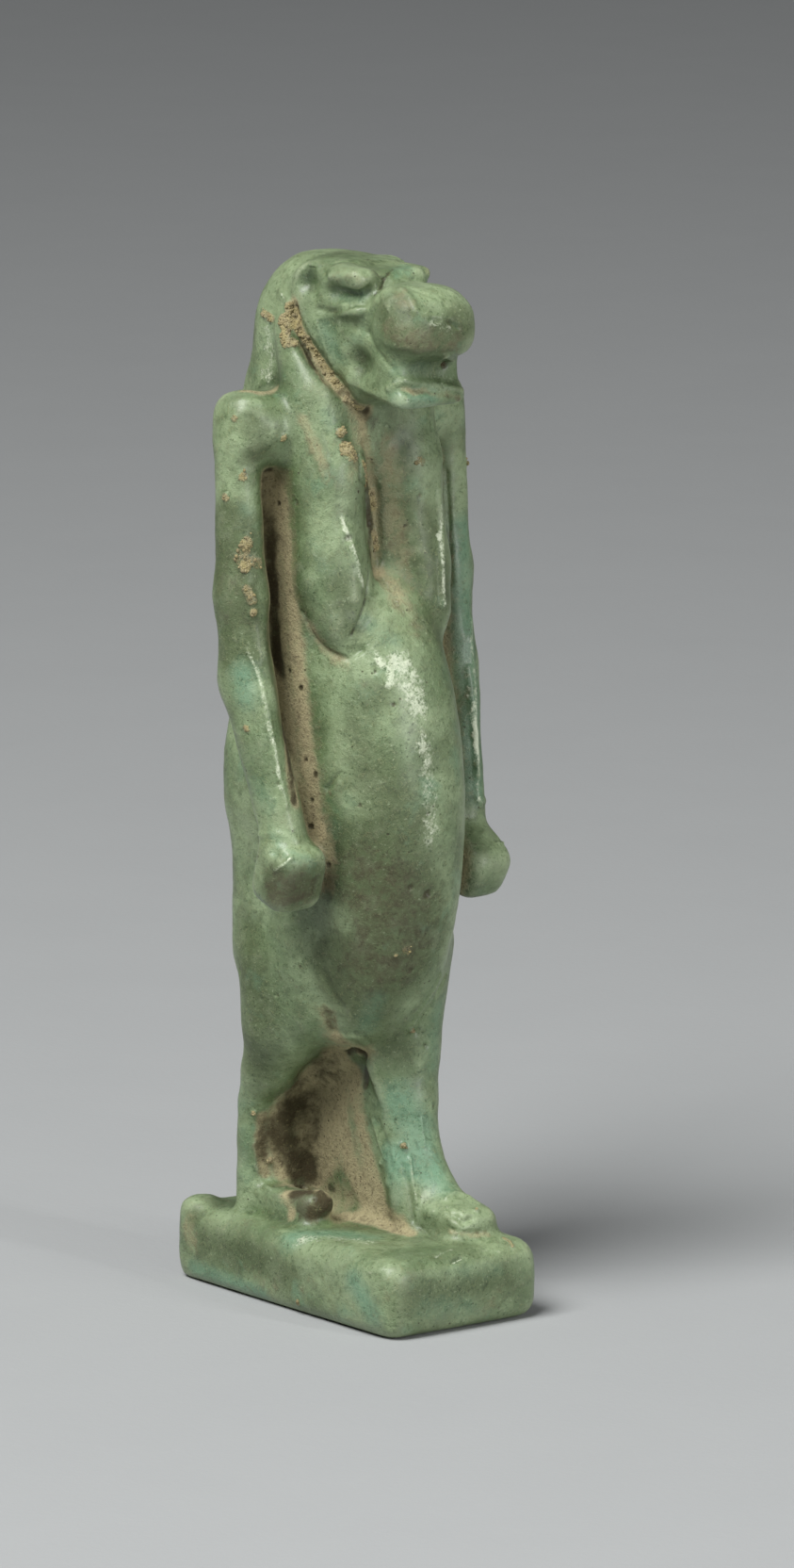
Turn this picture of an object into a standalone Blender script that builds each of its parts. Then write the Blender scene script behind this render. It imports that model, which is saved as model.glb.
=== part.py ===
"""Standing hippopotamus-goddess amulet of glazed faience, moulded in one piece with its base.

The figure is sculpted as one soft distance field in a Geometry Nodes tree: forms are added with a
blend, hollows are carved with a blend, and the field is turned into a mesh. It strides with its left
leg forward, faces -Y, and its right side is -X. The base stands on Z = 0, centred on the origin.
"""

import math

import bmesh
import bpy
from mathutils import Vector

MM = 0.001

# Driving dimensions.
FIGURE_HEIGHT = 50 * MM
BASE_LENGTH = 18.8 * MM
BASE_WIDTH = 9.9 * MM
BASE_HEIGHT = 4 * MM
BASE_EDGE_RADIUS = 1.2 * MM
BASE_UNDERCUT = 0.25 * MM
BASE_TILT = math.radians(1.0)
CORNER_LUMP = 1.2 * MM
BACK_PILLAR_WIDTH = 3.2 * MM
BACK_PILLAR_DEPTH = 3.0 * MM
BACK_PLANE = 7.0 * MM
SEAM_BLEND = 0.6 * MM

# Fineness of the solid.
VOXEL = 0.26 * MM
MOST_TRIANGLES = 9600
FLOOR_SKIN = 0.1 * MM

# The sculptor's grid: the figure is drawn in hundredths of its own height, from the top of the base.
UNIT = FIGURE_HEIGHT / 100
RIGHT, LEFT = -1, 1

FAIENCE_COLOUR = (0.30, 0.42, 0.29, 1.0)
FAIENCE_ROUGHNESS = 0.42


def clear_scene():
    for obj in list(bpy.data.objects):
        bpy.data.objects.remove(obj)


class Clay:
    """Distance fields in a Geometry Nodes tree: each form is a socket that is negative inside it."""

    def __init__(self, tree):
        self.tree = tree
        self.position = self.node("GeometryNodeInputPosition").outputs[0]

    def node(self, kind, *inputs, **settings):
        node = self.tree.nodes.new(kind)
        for name, value in settings.items():
            setattr(node, name, value)
        for socket, value in zip(node.inputs, inputs):
            if isinstance(value, bpy.types.NodeSocket):
                self.tree.links.new(value, socket)
            elif value is not None:
                socket.default_value = value
        return node

    def math(self, operation, *inputs):
        return self.node("ShaderNodeMath", *inputs, operation=operation).outputs[0]

    def vector(self, operation, *inputs):
        node = self.node("ShaderNodeVectorMath", *inputs, operation=operation)
        scalar = operation in {"LENGTH", "DOT_PRODUCT", "DISTANCE"}
        return node.outputs["Value" if scalar else "Vector"]

    def scaled(self, vector, factor):
        node = self.node("ShaderNodeVectorMath", vector, operation="SCALE")
        if isinstance(factor, bpy.types.NodeSocket):
            self.tree.links.new(factor, node.inputs["Scale"])
        else:
            node.inputs["Scale"].default_value = factor
        return node.outputs["Vector"]

    def add(self, first, second, blend):
        """Both forms as one, with a soft fillet of about that radius where they meet."""
        return self.math("SMOOTH_MIN", first, second, blend)

    def carve(self, form, cutter, blend):
        """The form with the cutter pressed out of it, with softened rims."""
        return self.math("SMOOTH_MAX", form, self.math("MULTIPLY", cutter, -1.0), blend)

    def common(self, first, second, blend):
        return self.math("SMOOTH_MAX", first, second, blend)

    def local(self, centre, turn):
        offset = self.vector("SUBTRACT", self.position, centre)
        if not any(turn):
            return offset
        node = self.node("ShaderNodeVectorRotate", offset, rotation_type="EULER_XYZ", invert=True)
        node.inputs["Rotation"].default_value = [math.radians(angle) for angle in turn]
        return node.outputs[0]

    def egg(self, centre, radii, turn=(0, 0, 0)):
        """An ellipsoid with those half axes, turned by those degrees about X, Y and Z."""
        tiny = 1e-4
        place = self.local(centre, turn)
        radii = Vector(radii)
        near = self.vector("LENGTH", self.vector("DIVIDE", place, radii))
        steep = self.vector("LENGTH", self.vector("DIVIDE", place, radii * radii))
        ratio = self.math("DIVIDE", self.math("ADD", near, tiny), self.math("ADD", steep, tiny))
        return self.math("MULTIPLY", self.math("SUBTRACT", near, 1.0), ratio)

    def block(self, centre, half, rounding, turn=(0, 0, 0)):
        """A box with those half sides and rounded edges."""
        inner = Vector([side - rounding for side in half])
        beyond = self.vector(
            "SUBTRACT", self.vector("ABSOLUTE", self.local(centre, turn)), inner
        )
        outside = self.vector("LENGTH", self.vector("MAXIMUM", beyond, (0, 0, 0)))
        axes = self.node("ShaderNodeSeparateXYZ", beyond).outputs
        deepest = self.math("MAXIMUM", self.math("MAXIMUM", axes[0], axes[1]), axes[2])
        inside = self.math("MINIMUM", deepest, 0.0)
        return self.math("SUBTRACT", self.math("ADD", outside, inside), rounding)

    def rod(self, start, end, start_radius, end_radius):
        """A round bar between two points, tapering from one radius to the other."""
        start, end = Vector(start), Vector(end)
        along = end - start
        offset = self.vector("SUBTRACT", self.position, start)
        share = self.math("DIVIDE", self.vector("DOT_PRODUCT", offset, along), along.length_squared)
        share = self.node("ShaderNodeClamp", share).outputs[0]
        nearest = self.vector("SUBTRACT", offset, self.scaled(along, share))
        radius = self.math("MULTIPLY_ADD", share, end_radius - start_radius, start_radius)
        return self.math("SUBTRACT", self.vector("LENGTH", nearest), radius)

    def limb(self, joints, blend):
        """Rods through (point, radius) joints, blended into one."""
        form = None
        for (start, start_radius), (end, end_radius) in zip(joints, joints[1:]):
            rod = self.rod(start, end, start_radius, end_radius)
            form = rod if form is None else self.add(form, rod, blend)
        return form


def sided(side, point):
    x, y, z = point
    return Vector((side * x, y, z))


def torso(clay):
    chest = clay.block((0, 4.5, 63), (8.4, 7.3, 22), 2.8)
    hips = clay.block((0, 4.4, 37.5), (8.7, 7.8, 14), 4.2)
    body = clay.add(chest, hips, 5)
    yoke = clay.block((0, 3.3, 82.4), (12.0, 3.7, 3.8), 2.6)
    collar = clay.rod((-10.5, 0.9, 83), (10.5, 0.9, 83), 2.0, 2.0)
    body = clay.add(body, clay.add(yoke, collar, 2), 1.5)
    halves = [clay.egg((side * 2.0, -1.0, 43.5), (7.0, 11.4, 25)) for side in (RIGHT, LEFT)]
    belly = clay.common(clay.add(*halves, 6), clay.block((0, 0, 40), (8.3, 20, 40), 1), 1.5)
    return clay.add(body, belly, 3)


# The furrow between the breasts runs this far to the figure's right of its middle.
PARTING = Vector((-0.7, 0, 0))


def lappet_and_breast(clay, side):
    """One side of the wig, falling on the chest and running on into a hanging breast."""
    outer = [
        ((5.6, 2.2, 92), 2.5),
        ((5.4, -0.3, 86), 2.9),
        ((5.2, -1.9, 78), 3.2),
        ((5.3, -3.0, 68), 3.4),
        ((5.1, -4.4, 63.5), 2.7),
        ((4.9, -5.1, 61.4), 1.8),
    ]
    inner = [((3.7, -0.6, 86), 2.3), ((3.6, -1.4, 78), 2.7), ((3.7, -2.0, 67), 2.8), ((3.9, -2.6, 63), 2.0)]
    limbs = [
        clay.limb([(sided(side, point), radius) for point, radius in outer], 2.5),
        clay.limb([(sided(side, point) + PARTING, radius) for point, radius in inner], 2.5),
    ]
    return clay.add(*limbs, 3)


RIGHT_ARM = (
    [((12.9, 2.7, 81), 2.3), ((13.0, 1.9, 66), 2.6), ((12.9, 1.2, 57.5), 2.65), ((12.2, -4.2, 42.5), 2.4)],
    [((12.8, 0.0, 64), 0.9), ((13.2, -2.0, 56), 1.1), ((13.2, -3.2, 51), 1.1), ((12.7, -5.8, 42.5), 1.0)],
)
LEFT_ARM = (
    [((13.0, 2.7, 81), 2.4), ((13.1, 2.1, 66), 2.55), ((13.1, 1.4, 56), 2.65), ((12.7, -1.4, 41), 2.3)],
    [((12.9, 0.2, 64), 0.9), ((13.5, -1.0, 53), 1.1), ((13.2, -2.6, 42.5), 1.0)],
)


def arm(clay, side):
    """An arm held down at the side, with the ridge along its forearm and its closed fist."""
    bar_joints, ridge_joints = RIGHT_ARM if side == RIGHT else LEFT_ARM
    bar, ridge = (
        clay.limb([(sided(side, point), radius) for point, radius in joints], 2.5)
        for joints in (bar_joints, ridge_joints)
    )
    form = clay.add(bar, ridge, 1.2)
    shoulder = clay.block((side * 11.6, 2.8, 83.2), (3.1, 3.3, 3.5), 2.5)
    form = clay.add(form, shoulder, 2.0)
    if side == RIGHT:
        fist = clay.block((side * 12.1, -4.9, 38.5), (3.1, 3.0, 3.6), 1.7, (16, 0, 0))
    else:
        fist = clay.block((side * 12.2, -3.9, 36.6), (3.0, 3.4, 3.2), 2.0, (34, 0, 0))
    return clay.add(form, fist, 1.2)


def arm_web(clay, side):
    """The rib that joins an arm to the side of the body, set back from the front."""
    joints = [((10, 4.6, 82), 2.0), ((10, 4.4, 58), 1.8), ((9.6, 1.0, 48), 1.5), ((9.6, -2.8, 39), 1.6)]
    return clay.limb([(sided(side, point), radius) for point, radius in joints], 1)


def front_leg(clay):
    joints = [
        ((4.3, -3.1, 29), 4.8),
        ((4.1, -2.6, 17.5), 3.6),
        ((3.9, -3.9, 13), 2.8),
        ((3.9, -5.3, 8), 2.2),
        ((4.1, -7.4, 4.2), 2.2),
        ((4.2, -10.8, 1.4), 2.4),
    ]
    leg = clay.limb(joints, 2)
    shin = [((2.5, -0.6, 18), 2.2), ((2.4, -3.4, 10), 1.9), ((2.4, -6.2, 3.6), 1.9), ((2.8, -9.0, 0.6), 2.0)]
    leg = clay.add(leg, clay.limb(shin, 2), 1.2)
    paw = clay.block((4.2, -12.1, 1.0), (3.1, 3.4, 2.6), 1.6, (7, 0, 0))
    leg = clay.add(leg, paw, 1.0)
    buttock = clay.limb([((4.6, 5.2, 28), 5.0), ((4.4, 0.5, 19), 3.8)], 2)
    return clay.add(leg, buttock, 2)


def rear_leg(clay):
    joints = [
        ((-4.6, 5.2, 27), 5.3),
        ((-4.8, 5.4, 20.5), 4.5),
        ((-5.1, 8.2, 15.0), 2.6),
        ((-5.3, 9.9, 11.5), 1.8),
        ((-5.5, 10.4, 8), 1.5),
        ((-5.5, 10.4, 1), 1.7),
    ]
    thigh = clay.rod((-4.4, 0.5, 30), (-4.6, 1.5, 23), 4.8, 4.0)
    leg = clay.add(clay.limb(joints, 1.5), thigh, 3)
    hollow_back = clay.limb([((-1.6, 9.0, 17), 2.6), ((-2.2, 10.4, 9), 2.9), ((-2.2, 10.4, 0), 3.1)], 1)
    return clay.add(leg, hollow_back, 1.2)


def rear_foot(clay):
    sole = clay.block((-4.6, 5.4, 0.7), (1.7, 5.6, 2.3), 0.9)
    toes = clay.egg((-4.3, 0.9, 2.2), (1.8, 1.9, 1.5))
    return clay.add(sole, toes, 0.8)


def leg_web(clay):
    """The wall that fills the stride between the legs."""
    wall = clay.block((0.8, 4.2, 12), (1.9, 9.0, 15), 1.0)
    shin_side = clay.limb([((0.9, -2.9, 18), 1.9), ((1.1, -3.8, 10), 1.6), ((1.6, -8.0, 0), 1.5)], 1)
    return clay.add(wall, shin_side, 1.0)


def stride_recess(clay):
    """The hollow in that wall: upright behind, leaning with the shin in front, under the slanting thigh."""
    upright = clay.block((-5, 1.0, 10.6), (5.3, 7.1, 10), 1.6)
    leaning = clay.block((-5, 2.2, 10), (5.3, 7.4, 14), 1.2, (-23, 0, 0))
    sloping = clay.block((-5, -1.8, 7.2), (5.5, 12, 9), 1.2, (-31, 0, 0))
    return clay.common(clay.common(upright, leaning, 0.8), sloping, 1.4)


def back_pillar(clay):
    half_width = BACK_PILLAR_WIDTH / UNIT / 2
    depth = BACK_PILLAR_DEPTH / UNIT
    rear = BACK_PLANE / UNIT
    return clay.block((0, rear - depth / 2, 43), (half_width, depth / 2, 45), 0.8)


def wig(clay):
    dome = clay.block((0, 3.8, 87.9), (6.9, 7.7, 11.9), 5.0)
    rounding = clay.egg((0, 3.2, 85), (9.3, 11.4, 15.9))
    dome = clay.common(dome, rounding, 2.0)
    nape = clay.block((0, 7.4, 83.0), (6.2, 4.6, 5), 3.0)
    return clay.add(dome, nape, 4)


HEAD_ROLL = (0, 5, 0)
RIGHT_LID = ((-4.1, -4.8, 98.5), (1.6, 3.0, 1.25))
LEFT_LID = ((3.3, -4.7, 98.0), (1.5, 2.4, 1.15))


def face(clay):
    forehead = clay.block((-0.2, -3.0, 95.5), (4.2, 4.4, 3.6), 1.4, HEAD_ROLL)
    brow = clay.block((-0.4, -1.0, 97.3), (4.5, 3.6, 2.5), 1.9, HEAD_ROLL)
    forehead = clay.add(forehead, brow, 1.0)
    shelf = clay.block((-0.2, -3.6, 94.9), (5.5, 4.1, 0.6), 0.4, HEAD_ROLL)
    cheeks = clay.block((-0.1, -4.6, 92.0), (4.3, 6.2, 5.0), 1.6)
    form = clay.add(clay.add(forehead, shelf, 0.8), cheeks, 0.5)
    muzzle = clay.block((-0.1, -11.6, 94.6), (4.9, 3.9, 3.6), 2.4, HEAD_ROLL)
    muzzle = clay.common(muzzle, clay.egg((0, -9.0, 93.5), (7.4, 7.2, 5.3), HEAD_ROLL), 1.0)
    bridge = clay.rod((-0.1, -4, 95.2), (-0.1, -9.5, 94.8), 3.0, 3.0)
    form = clay.add(form, clay.add(muzzle, bridge, 1.2), 0.8)
    teeth = clay.block((-0.1, -8.3, 90.2), (4.2, 4.2, 3.2), 1.4)
    form = clay.add(form, teeth, 0.8)
    jaw = clay.block((-0.1, -8.2, 87.5), (4.4, 5.2, 1.05), 0.9, (9, 0, 0))
    form = clay.add(form, jaw, 0.8)
    throat = clay.block((0, -2.6, 88.0), (4.4, 4.2, 2.6), 2.0)
    form = clay.add(form, throat, 1.5)
    for side in (RIGHT, LEFT):
        form = clay.add(form, clay.egg(sided(side, (3.7, -4.6, 92.2)), (1.5, 3.4, 2.9)), 0.8)
        dimple = clay.egg(sided(side, (5.4, -7.2, 89.9)), (1.7, 2.0, 1.7))
        form = clay.carve(form, dimple, 1.0)
    for lid_centre, lid_half in (RIGHT_LID, LEFT_LID):
        form = clay.add(form, clay.block(lid_centre, lid_half, 1.0, HEAD_ROLL), 0.4)
        x, y, z = lid_centre
        under = 1.45 * x
        socket = clay.rod((under, y + 2.4, z - 1.5), (under, y - 2.4, z - 1.6), 0.8, 0.8)
        form = clay.carve(form, socket, 0.5)
    return form


def ear_and_groove(clay, form, side):
    """The cupped ear, and the groove that parts the cheek from the wig."""
    ear = clay.egg(sided(side, (5.1, 0.1, 97.4)), (1.9, 2.7, 2.3))
    form = clay.add(form, ear, 1.2)
    form = clay.carve(form, clay.egg(sided(side, (7.5, -0.5, 97.5)), (2.3, 2.3, 1.9)), 0.9)
    joints = [((7.3, 2.0, 95.4), 0.6), ((6.4, 0.0, 91.4), 0.9), ((5.3, -2.2, 88.4), 0.9), ((4.2, -4.0, 86.6), 0.7)]
    groove = clay.limb([(sided(side, point), radius) for point, radius in joints], 0.3)
    return clay.carve(form, groove, 0.7)


def figure(clay):
    form = torso(clay)
    for side in (RIGHT, LEFT):
        form = clay.add(form, arm_web(clay, side), 0.8)
        form = clay.add(form, arm(clay, side), 0.8)
    legs = clay.add(front_leg(clay), rear_leg(clay), 1.5)
    legs = clay.add(legs, leg_web(clay), 3.2)
    legs = clay.carve(legs, stride_recess(clay), 0.9)
    legs = clay.add(legs, rear_foot(clay), 0.9)
    form = clay.add(form, legs, 1.5)
    form = clay.add(form, back_pillar(clay), 1.0)
    form = clay.add(form, wig(clay), 1.5)
    for side in (RIGHT, LEFT):
        form = clay.add(form, lappet_and_breast(clay, side), 0.9)
    form = clay.add(form, face(clay), 0.7)
    for side in (RIGHT, LEFT):
        form = ear_and_groove(clay, form, side)
    return form


def base(clay):
    """The slab under the feet, a pillow shape cut off flat at Z = 0, with one thick rear corner."""
    top, bottom = BASE_HEIGHT, -BASE_UNDERCUT
    half = (BASE_WIDTH / 2, BASE_LENGTH / 2, (top - bottom) / 2)
    slope = (-math.degrees(BASE_TILT), 0, 0)
    slab = clay.block((0, 0, (top + bottom) / 2), half, BASE_EDGE_RADIUS, slope)
    rim = CORNER_LUMP
    centre = (rim - BASE_WIDTH / 2, BASE_LENGTH / 2 - rim, top - 0.3 * rim)
    return clay.add(slab, clay.egg(centre, (rim, rim, 0.6 * rim)), BASE_EDGE_RADIUS / 2)


def sculpture_tree():
    tree = bpy.data.node_groups.new("Amulet sculpture", "GeometryNodeTree")
    tree.interface.new_socket("Geometry", in_out="OUTPUT", socket_type="NodeSocketGeometry")
    clay = Clay(tree)
    ground = clay.position
    clay.position = clay.scaled(clay.vector("SUBTRACT", ground, (0, 0, BASE_HEIGHT)), 1 / UNIT)
    standing = clay.math("MULTIPLY", figure(clay), UNIT)
    clay.position = ground
    whole = clay.add(base(clay), standing, SEAM_BLEND)
    height = clay.node("ShaderNodeSeparateXYZ", ground).outputs[2]
    whole = clay.math("MAXIMUM", whole, clay.math("SUBTRACT", -FLOOR_SKIN, height))
    density = clay.math("MULTIPLY", whole, -1 / VOXEL)
    reach = Vector((17.5 * UNIT, BASE_LENGTH / 2 + 2 * VOXEL, 0))
    lowest = -reach - Vector((0, 0, FLOOR_SKIN + 3 * VOXEL))
    highest = reach + Vector((0, 0, BASE_HEIGHT + FIGURE_HEIGHT + 3 * VOXEL))
    highest.y = max(highest.y, 19 * UNIT)
    lowest.y = min(lowest.y, -19 * UNIT)
    steps = [math.ceil((high - low) / VOXEL) + 1 for low, high in zip(lowest, highest)]
    volume = clay.node("GeometryNodeVolumeCube", density, -1.0, lowest, highest, *steps)
    skin = clay.node("GeometryNodeVolumeToMesh", volume.outputs[0])
    skin.inputs["Threshold"].default_value = 0.0
    skin.inputs["Adaptivity"].default_value = 0.0
    out = clay.node("NodeGroupOutput")
    tree.links.new(skin.outputs[0], out.inputs[0])
    return tree


def faience():
    material = bpy.data.materials.new("faience")
    material.use_nodes = True
    shader = material.node_tree.nodes["Principled BSDF"]
    shader.inputs["Base Color"].default_value = FAIENCE_COLOUR
    shader.inputs["Roughness"].default_value = FAIENCE_ROUGHNESS
    shader.inputs["Metallic"].default_value = 0.0
    return material


def evaluated_mesh(obj):
    graph = bpy.context.evaluated_depsgraph_get()
    return bpy.data.meshes.new_from_object(obj.evaluated_get(graph))


def triangle_count(mesh):
    return sum(len(face.vertices) - 2 for face in mesh.polygons)


def cut_flat(mesh):
    """Cuts the mesh off at Z = 0 and closes it with one flat underside."""
    work = bmesh.new()
    work.from_mesh(mesh)
    everything = work.verts[:] + work.edges[:] + work.faces[:]
    cut = bmesh.ops.bisect_plane(
        work, geom=everything, plane_co=(0, 0, 0), plane_no=(0, 0, 1), clear_inner=True
    )
    rim = [item for item in cut["geom_cut"] if isinstance(item, bmesh.types.BMEdge)]
    bmesh.ops.contextual_create(work, geom=rim)
    bmesh.ops.triangulate(work, faces=work.faces[:])
    bmesh.ops.recalc_face_normals(work, faces=work.faces[:])
    work.to_mesh(mesh)
    work.free()


def make_amulet():
    amulet = bpy.data.objects.new("amulet", bpy.data.meshes.new("amulet"))
    bpy.context.scene.collection.objects.link(amulet)
    sculpt = amulet.modifiers.new("Sculpture", "NODES")
    sculpt.node_group = sculpture_tree()
    amulet.data = evaluated_mesh(amulet)
    amulet.modifiers.remove(sculpt)
    thin = amulet.modifiers.new("Thin out", "DECIMATE")
    thin.ratio = min(1.0, MOST_TRIANGLES / triangle_count(amulet.data))
    amulet.data = evaluated_mesh(amulet)
    amulet.modifiers.remove(thin)
    cut_flat(amulet.data)
    amulet.data.shade_smooth()
    amulet.data.materials.clear()
    amulet.data.materials.append(faience())
    return amulet


def main():
    clear_scene()
    make_amulet()


main()
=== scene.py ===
"""Looks of a small glazed faience amulet: its fired body, the soil left on it, and the stage."""

import math
from collections import namedtuple

import bmesh
import bpy
from bpy.props import FloatProperty, FloatVectorProperty, IntProperty, PointerProperty
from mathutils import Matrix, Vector
from mathutils.bvhtree import BVHTree
from mathutils.kdtree import KDTree


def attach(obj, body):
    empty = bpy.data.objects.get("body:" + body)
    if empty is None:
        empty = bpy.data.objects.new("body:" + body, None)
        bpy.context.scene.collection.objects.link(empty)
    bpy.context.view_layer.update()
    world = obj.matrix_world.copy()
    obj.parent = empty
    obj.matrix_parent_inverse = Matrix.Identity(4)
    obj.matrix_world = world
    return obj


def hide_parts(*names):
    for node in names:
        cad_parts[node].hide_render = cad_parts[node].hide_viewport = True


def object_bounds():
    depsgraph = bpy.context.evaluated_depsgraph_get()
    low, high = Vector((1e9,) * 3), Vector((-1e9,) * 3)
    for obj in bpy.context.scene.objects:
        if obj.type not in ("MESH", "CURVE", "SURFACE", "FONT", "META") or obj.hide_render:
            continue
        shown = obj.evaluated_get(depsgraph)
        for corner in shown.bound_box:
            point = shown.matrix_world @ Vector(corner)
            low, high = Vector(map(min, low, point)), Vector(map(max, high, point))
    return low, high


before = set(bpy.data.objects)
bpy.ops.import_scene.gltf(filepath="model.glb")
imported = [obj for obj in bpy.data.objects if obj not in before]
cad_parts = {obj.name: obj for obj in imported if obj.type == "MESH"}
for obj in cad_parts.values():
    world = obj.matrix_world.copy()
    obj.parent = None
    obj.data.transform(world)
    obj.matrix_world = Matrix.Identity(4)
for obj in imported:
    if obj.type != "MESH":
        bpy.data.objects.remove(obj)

bl_info = {
    "name": "Faience Amulet",
    "version": (1, 0, 0),
    "blender": (4, 5, 0),
    "location": "3D View > Sidebar > Amulet",
    "description": "Glazes the amulet, leaves soil on it and stands it on a stage",
    "category": "Object",
}

MM = 0.001
MERGE_DISTANCE = 0.001 * MM
NODE, BODY, SLOT = "amulet", "root", "faience"
CAD_BOX = [list(corner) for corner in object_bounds()]
LOW, HIGH = (Vector(corner) for corner in CAD_BOX)

# The photograph: its size in pixels, the pixel that the camera aims at, and the scale there.
PHOTO_SIZE = (843, 1664)
AIM_PIXEL = (377.5, 826.0)
PIXELS_PER_MM = 20.9
AIM = Vector((0, 0, HIGH.z / 2))
AZIMUTH, ELEVATION = math.radians(-37), math.radians(11.3)
SENSOR = 36.0
CLIP_START = 0.01

# A mark follows points of the photograph, given in its pixels, over the body. Its reach is in
# millimetres. Where it shapes the surface, its strength is in millimetres too, more than 0 to
# raise it and less to sink it. Where it colours the surface, its strength is a share. It is made
# on the NEAR side, where its points are, mirrored on the FAR side, or on BOTH.
NEAR, FAR, BOTH = ("near",), ("far",), ("near", "far")
Mark = namedtuple("Mark", "reach strength points sides", defaults=(NEAR,))

# Runs of points that several marks follow.
UNDER_LID = [(352, 307), (372, 309), (391, 307)]
NEAR_BROW_CRACK = [(394, 285), (401, 291), (408, 297)]
FAR_BROW_CRACK = [(419, 285), (413, 290), (408, 297)]
BROW_CRACK_STEM = [(408, 297), (406, 304), (397, 314)]
INSIDE_REAR_LEG = [(277, 1185), (275, 1215), (280, 1245)]
UPPER_LUMP = [(361, 459)]
HOLE_IN_MOUTH = [(472, 388)]
REAR_LEG_GRIT = [(269, 1181)]
RECESS_GRIT = [(286, 1231)]
SHIN_GRIT = [(428, 1216)]

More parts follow.
